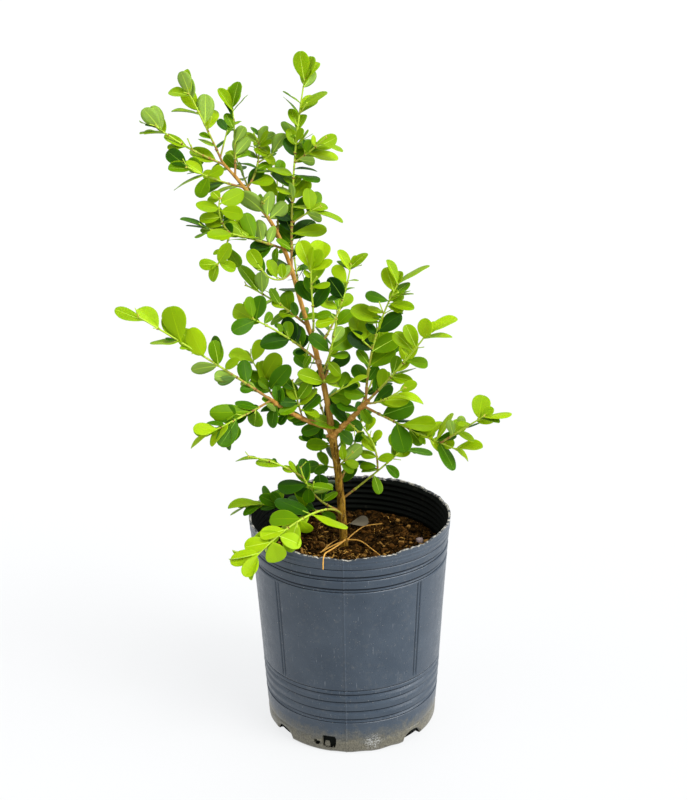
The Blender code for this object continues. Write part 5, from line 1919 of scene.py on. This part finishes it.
def make_pot():
    """One closed shell: up the outside, over the rim, down the inside and across the foot."""
    turn, rows = pot_turns(), pot_rows()
    count = len(turn)
    unit = np.stack([np.cos(turn), np.sin(turn)], -1)
    top, foot = rim_height(turn), foot_height(turn)
    rings, holes = pot_outside(turn, rows, top, foot)
    edge = rings.pop()
    edge = np.hypot(edge[:, 0], edge[:, 1])
    for out, up in RIM_PROFILE:
        rings.append(np.column_stack([unit * (edge + out)[:, None], top + up]))
    for height in INSIDE_HEIGHTS:
        ripple = INSIDE_RING_DEPTH * (math.sin(height * math.tau / INSIDE_RINGS) - 0.6)
        level = np.minimum(height, top - 0.0022 - (INSIDE_TOP - height) * 0.5)
        radius = outer_radius(height) - SHELL - 0.0003 + ripple
        rings.append(np.column_stack([unit * radius, level]))
    for radius, height in FLOOR_PROFILE:
        rings.append(np.column_stack([unit * radius, np.full(count, height)]))
    under = [
        np.column_stack([unit * radius, height + foot * lifted])
        for radius, height, lifted in UNDER_PROFILE
    ]
    total, outer = len(rings), len(rows)
    base = total * count
    j = np.arange(count)
    k = (j + 1) % count
    heap = Heap()
    heap.add(
        np.concatenate(rings + under),
        (band_faces(outer, count), outside_slots(rows, holes)),
        (
            band_faces(total - outer + 1, count) + (outer - 1) * count,
            np.repeat([POT_RIM] * 3 + [POT_INSIDE_SHADE] * (total - outer - 3), count),
        ),
        (cap_faces(base - count, count), POT_INSIDE_SHADE),
        # The underside is painted black, as painted shade under the pot.
        (np.stack([j, base + j, base + k, k], -1), POT_SHADE_BLACK),
        (band_faces(len(under), count, turned=True) + base, POT_SHADE_BLACK),
        (cap_faces(base + (len(under) - 1) * count, count, turned=True), POT_SHADE_BLACK),
    )
    add_flap(heap)
    return heap


def add_flap(heap):
    """A torn scrap of plastic that is left standing in the drain hole."""
    turn = DRAIN_ANGLE - math.radians(1.6)
    out = Vector(aim(turn))
    along = Vector((-math.sin(turn), math.cos(turn), 0))
    rings = []
    for height, half, depth in FLAP:
        for across, back in ((-half, 0), (half, 0), (half, 0.5), (-half, 0.5)):
            spot = out * (FOOT_RADIUS / MM - 0.1 - depth - back) + along * across
            rings.append(list((spot + Vector((0, 0, height))) * MM))
    heap.add_rings(rings, 4, POT_PLASTIC)


def drain_hole(turn, height):
    """1 inside a torn drain hole, and inside a small one beside it."""
    inside = np.zeros_like(turn)
    for half in (0, math.pi):
        for middle, wide, tall, base in DRAINS:
            across = wrapped(turn - middle - half) * FOOT_RADIUS / (wide / 2)
            up = (height - base - tall / 2) / (tall / 2)
            ragged = 1 + 0.20 * np.sin(turn * 190 + half) + 0.14 * np.sin(turn * 410 + 1)
            in_hole = np.abs(across) ** 5 + np.abs(up) ** 5 < ragged
            inside = np.maximum(inside, in_hole.astype(float))
    return inside


# ---------------------------------------------------------------- the soil and what lies on it
def soil_materials():
    earth = new_material("potting_soil", (0.03, 0.02, 0.01), 0.95, 0.03)
    nodes = Nodes(earth)
    mottle = nodes.noise(240, detail=6.0, rough=0.75)
    grit = nodes.noise(1100, detail=3.0)
    dark = nodes.fade(mottle, 0.42, 0.62, (0.003, 0.002, 0.0005), (0.050, 0.022, 0.004))
    nodes.colour(nodes.fade(grit, 0.62, 0.70, dark, (0.22, 0.12, 0.035)))
    nodes.bump(nodes.maths("ADD", mottle, grit), 1.0, 0.0018)
    chip = new_material("bark_chip", (0.072, 0.031, 0.006), 0.9, 0.03)
    pale = new_material("pale_chip", (0.24, 0.125, 0.028), 0.85, 0.05)
    straw = new_material("straw", (0.60, 0.32, 0.060), 0.6, 0.2)
    dead = new_material("dead_leaf", (0.140, 0.122, 0.085), 0.85, 0.1)
    stone = new_material("pebble", (0.26, 0.20, 0.19), 0.6, 0.2)
    for material, scale in ((chip, 900), (pale, 900), (straw, 1500), (dead, 700), (stone, 500)):
        nodes = Nodes(material)
        nodes.bump(nodes.noise(scale, detail=4.0), 0.6, 0.0005)
    return [earth, chip, pale, straw, dead, stone]


EARTH, BARK_CHIP, PALE_CHIP, STRAW, DEAD_LEAF, PEBBLE = range(6)
SOIL_TOP_RINGS = 74
SOIL_TOP_SPOKES = 216
CRUMBS, CHIPS, FIBRES, ROOT_FIBRES = 1350, 170, 90, 110
CRUMB_SHARES = (74, 21, 5)
TRUNK_CLEAR = 0.0065
FIBRE_REACH = 0.070
LUMP_ROWS, LUMP_SIDES = 5, 7


def soil_height(x, y):
    """The lumpy top of the soil, with a low mound round the trunk's foot."""
    coarse = noise.noise(Vector((x * 62, y * 62, 2.0)))
    lump = noise.noise(Vector((x * 190, y * 190, 5.0)))
    crumb = noise.noise(Vector((x * 520, y * 520, 8.0)))
    near = math.exp(-(math.hypot(x - FOOT_X, y - FOOT_Y) / 0.010) ** 2)
    swell = 0.0014 * coarse + 0.0017 * lump + 0.0012 * crumb
    return SOIL_LEVEL + 0.0008 + swell * (1 - 0.7 * near) + 0.0012 * near


def inner_radius(height):
    """How far out the soil reaches, clear of the rings inside the pot."""
    narrow = SHELL + 0.0004 + 1.6 * INSIDE_RING_DEPTH
    return outer_radius(height) - narrow


def make_soil():
    """A plug with a lumpy top, and the crumbs, chips and fibres on it."""
    heap = Heap()
    turn = math.tau * np.arange(SOIL_TOP_SPOKES) / SOIL_TOP_SPOKES
    wide = inner_radius(SOIL_LEVEL) - 0.0002
    rings = []
    for height in (0.0034, 0.010, 0.070, 0.1400):
        radius = inner_radius(height) - 0.0003
        level = np.full(SOIL_TOP_SPOKES, height)
        rings.append(np.stack([radius * np.cos(turn), radius * np.sin(turn), level], -1))
    for i in range(SOIL_TOP_RINGS):
        radius = wide * (1 - i / SOIL_TOP_RINGS)
        ring = []
        for angle in turn:
            x, y = radius * math.cos(angle), radius * math.sin(angle)
            ring.append((x, y, soil_height(x, y)))
        rings.append(np.array(ring))
    heap.add_rings(rings, SOIL_TOP_SPOKES, EARTH)
    rng = draws("crumbs")
    for _ in range(CRUMBS):
        x, y = soil_spot(rng, wide - 0.004)
        size = 0.0006 + 0.0022 * rng.random() ** 2.4
        slot = rng.choices((EARTH, BARK_CHIP, PALE_CHIP), CRUMB_SHARES)[0]
        add_lump(heap, (x, y, soil_height(x, y) + size * 0.25), size, rng, slot)
    for _ in range(CHIPS):
        x, y = soil_spot(rng, wide - 0.006)
        add_chip(heap, (x, y, soil_height(x, y) + 0.0008), rng)
    for _ in range(FIBRES):
        x, y = soil_spot(rng, wide - 0.010)
        add_fibre(heap, x, y, rng)
    for _ in range(ROOT_FIBRES):
        turn = rng.uniform(math.radians(120), math.radians(330))
        reach = rng.uniform(0.006, 0.045)
        add_fibre(heap, FOOT_X + reach * math.cos(turn), FOOT_Y + reach * math.sin(turn), rng)
    return heap


def soil_spot(rng, reach):
    """A place on the soil that is clear of the trunk."""
    while True:
        x, y = rng.uniform(-reach, reach), rng.uniform(-reach, reach)
        clear = math.hypot(x - FOOT_X, y - FOOT_Y) > TRUNK_CLEAR
        if math.hypot(x, y) < reach and clear:
            return x, y


def add_lump(heap, middle, size, rng, slot):
    """A small rough ball, a little flattened."""
    points = []
    stretch = [rng.uniform(0.75, 1.3) for _ in range(2)] + [rng.uniform(0.55, 0.95)]
    shift = Vector((rng.uniform(0, 50), 0, 0))
    for i in range(LUMP_ROWS):
        climb = math.pi * (i + 0.5) / LUMP_ROWS - math.pi / 2
        for j in range(LUMP_SIDES):
            way = Vector(aim(math.tau * (j + 0.5 * (i % 2)) / LUMP_SIDES, climb))
            bulge = 1 + 0.45 * noise.noise(way * 1.7 + shift)
            points.append([m + w * s * size * bulge for m, w, s in zip(middle, way, stretch)])
    heap.add_rings(points, LUMP_SIDES, slot)


def add_chip(heap, middle, rng):
    """A flake of bark, a thin splintered slab that lies askew."""
    length = rng.uniform(0.003, 0.009)
    wide = rng.uniform(0.0012, 0.0032)
    thick = rng.uniform(0.0004, 0.0009)
    turn = Matrix.Rotation(rng.uniform(0, math.tau), 3, "Z")
    turn = turn @ Matrix.Rotation(rng.gauss(0, 0.35), 3, "X")
    turn = turn @ Matrix.Rotation(rng.gauss(0, 0.3), 3, "Y")
    rings = []
    for share in (-0.5, -0.38, 0.05, 0.40, 0.5):
        spread = wide / 2 * (1 - 1.3 * abs(share) ** 2.5) * rng.uniform(0.7, 1.1)
        skew = rng.uniform(-0.2, 0.2) * wide
        for across, up in ((-1, -0.5), (1, -0.5), (0.9, 0.5), (-0.85, 0.5)):
            spot = Vector((share * length, across * spread + skew, up * thick))
            rings.append(list(Vector(middle) + turn @ spot))
    heap.add_rings(rings, 4, PALE_CHIP if rng.random() < 0.22 else BARK_CHIP)


def add_fibre(heap, x, y, rng):
    """A thin root fibre, half sunk in the soil."""
    heading = rng.uniform(0, math.tau)
    bend = rng.uniform(-80, 80)
    step = rng.uniform(0.0008, 0.0018)
    line = []
    for i in range(9):
        line.append((x, y, soil_height(x, y) + 0.0004 + 0.0006 * math.sin(i * 0.8)))
        heading += bend * step + rng.uniform(-0.15, 0.15)
        x, y = x + step * math.cos(heading), y + step * math.sin(heading)
        if math.hypot(x, y) > FIBRE_REACH:
            break
    if len(line) > 3:
        radius = rng.uniform(0.00014, 0.00034)
        add_tube(heap, line, [radius] * len(line), 5, rng.choice((STRAW, PALE_CHIP, BARK_CHIP)))


# The straws that lie on the soil, by points in millimetres, and each one's radius. The first
# leans over the rim and hangs down outside it.
STRAWS = (
    (((-4, 1, 153.5), (-9, -26, 162), (-14, -55, 172), (-18, -74, 178.4), (-19.4, -79.6, 178.8),
      (-20.2, -81.2, 175), (-20.4, -81.0, 168)), 0.72),
    (((-4, 2, 152.5), (-13, -5, 151.8), (-24.0, -13.7, 149.6)), 0.66),
    (((-23.3, -11.8, 148.5), (-17, -1, 150.2), (-10.6, 10.3, 149.4)), 0.45),
    (((-2.5, 10, 149.5), (5, 23, 150.6), (13.3, 34.9, 150.2), (26.8, 41.4, 149.0)), 0.50),
    (((-3, 3, 152.8), (8.0, 1.2, 152.4), (17.8, -11.2, 150.5), (23.5, -18.7, 149.0)), 0.56),
)
STRAW_STEP = 0.0012
PEBBLE_PLACE, PEBBLE_SIZE = (0.056, 0.0066, 0.1492), 0.0042


def make_litter():
    """Straws, a dead leaf and a pebble."""
    heap = Heap()
    for points, radius in STRAWS:
        path = smooth_path([(Vector(point) * MM, 1.0) for point in points], STRAW_STEP)
        line = np.array([list(point) for point in path.points])
        share = np.linspace(0, 1, len(line))
        thick = radius * MM * (1 - 0.35 * share) * (1 + 0.08 * np.sin(share * 40))
        add_tube(heap, line, thick, 7, STRAW)
    base, tip = Vector((-0.6, 36, 151.6)) * MM, Vector((15.4, 38, 152.4)) * MM
    ahead = (tip - base).normalized()
    length = (tip - base).length
    matrix = leaf_matrix(base, ahead, Vector((0.1, -0.5, 0.86)), length, length * 0.8)
    points, uvs = leaf_surface(LeafForm(0.7, 3.0, 0.35, -0.12, 0.5, 0.05, 0.01, 0.3, 0.12))
    dead_leaf = (LEAF_QUADS, DEAD_LEAF), (LEAF_CAPS, DEAD_LEAF)
    heap.add(placed(points, matrix), *dead_leaf, uvs=uvs)
    add_lump(heap, PEBBLE_PLACE, PEBBLE_SIZE, draws("litter"), PEBBLE)
    return heap


# ---------------------------------------------------------------- stage, light and camera
CAMERA_PLACE = (0.0, -1.024, 0.634)
CAMERA_PITCH, CAMERA_YAW, CAMERA_ROLL = 19.41, -0.19, -0.76
SENSOR, LENS = 36, 63
# Half the floor's width, in metres.
FLOOR = 15
# Each sun's name, the way to it, its strength, and how many degrees wide it is.
SUNS = (
    ("key", (0.62, -0.50, 1.0), 2.7, 30),
    ("fill", (-0.9, -0.4, 0.6), 1.1, 60),
    ("side", (1.0, -0.25, 0.35), 2.8, 50),
    ("top", (0.1, 0.6, 1.0), 0.7, 50),
)


def make_stage():
    """A pale floor that glows a little, a pale world and four soft suns."""
    mesh = bpy.data.meshes.new("floor")
    corners = [(-FLOOR, -FLOOR, 0), (FLOOR, -FLOOR, 0), (FLOOR, FLOOR, 0), (-FLOOR, FLOOR, 0)]
    mesh.from_pydata(corners, [], [(0, 1, 2, 3)])
    glow = {"Emission_Color": (0.98, 0.99, 1, 1), "Emission_Strength": 0.785}
    mesh.materials.append(new_material("pale_floor", (0.10, 0.10, 0.10), 0.9, **glow))
    add_object("floor", mesh)
    world = bpy.data.worlds.new("studio")
    world.use_nodes = True
    background = world.node_tree.nodes["Background"]
    background.inputs["Color"].default_value = (0.97, 0.985, 1.0, 1)
    background.inputs["Strength"].default_value = 0.60
    bpy.context.scene.world = world
    for name, way, strength, spread in SUNS:
        data = bpy.data.lights.new(name, "SUN")
        data.energy = strength
        data.angle = math.radians(spread)
        turn = Vector(way).to_track_quat("Z", "Y").to_euler()
        add_object(name, data).rotation_euler = turn


def make_camera():
    """A camera that looks down by its pitch, to one side by its yaw, and is tipped by its roll."""
    pitch, yaw = math.radians(CAMERA_PITCH), math.radians(CAMERA_YAW)
    level = math.cos(pitch)
    ahead = Vector((math.sin(yaw) * level, math.cos(yaw) * level, -math.sin(pitch)))
    right = Vector((math.cos(yaw), -math.sin(yaw), 0))
    up = right.cross(ahead)
    axes = swung(right, up, CAMERA_ROLL), swung(up, -right, CAMERA_ROLL), -ahead
    data = bpy.data.cameras.new("camera")
    data.sensor_width = SENSOR
    data.lens = LENS
    data.clip_end = 100
    camera = add_object("camera", data)
    camera.matrix_world = Matrix.Translation(CAMERA_PLACE) @ Matrix(axes).transposed().to_4x4()
    bpy.context.scene.camera = camera


# ---------------------------------------------------------------- the whole
bpy.context.scene.view_settings.view_transform = "Standard"
make_stage()
make_camera()
paths = lay_limbs()
masses = grow(paths)
make_crown(masses, {shoot.name: fine_path(shoot, paths) for shoot in SHOOTS + FINE_SHOOTS})
wood = wood_materials()
make_trunk(paths).make("trunk_bark", wood, "bark", ["trunk"])
for bough in BOUGHS:
    make_bough(bough, paths).make(f"{bough.name}_bark", wood, "young_bark", [bough.name])
make_pot().make("pot_shell", pot_materials(), "pot_plastic", ["pot"], angle=50)
ground = soil_materials()
make_soil().make("soil_plug", ground, "potting_soil", ["soil"])
make_litter().make("litter", ground, "potting_soil")
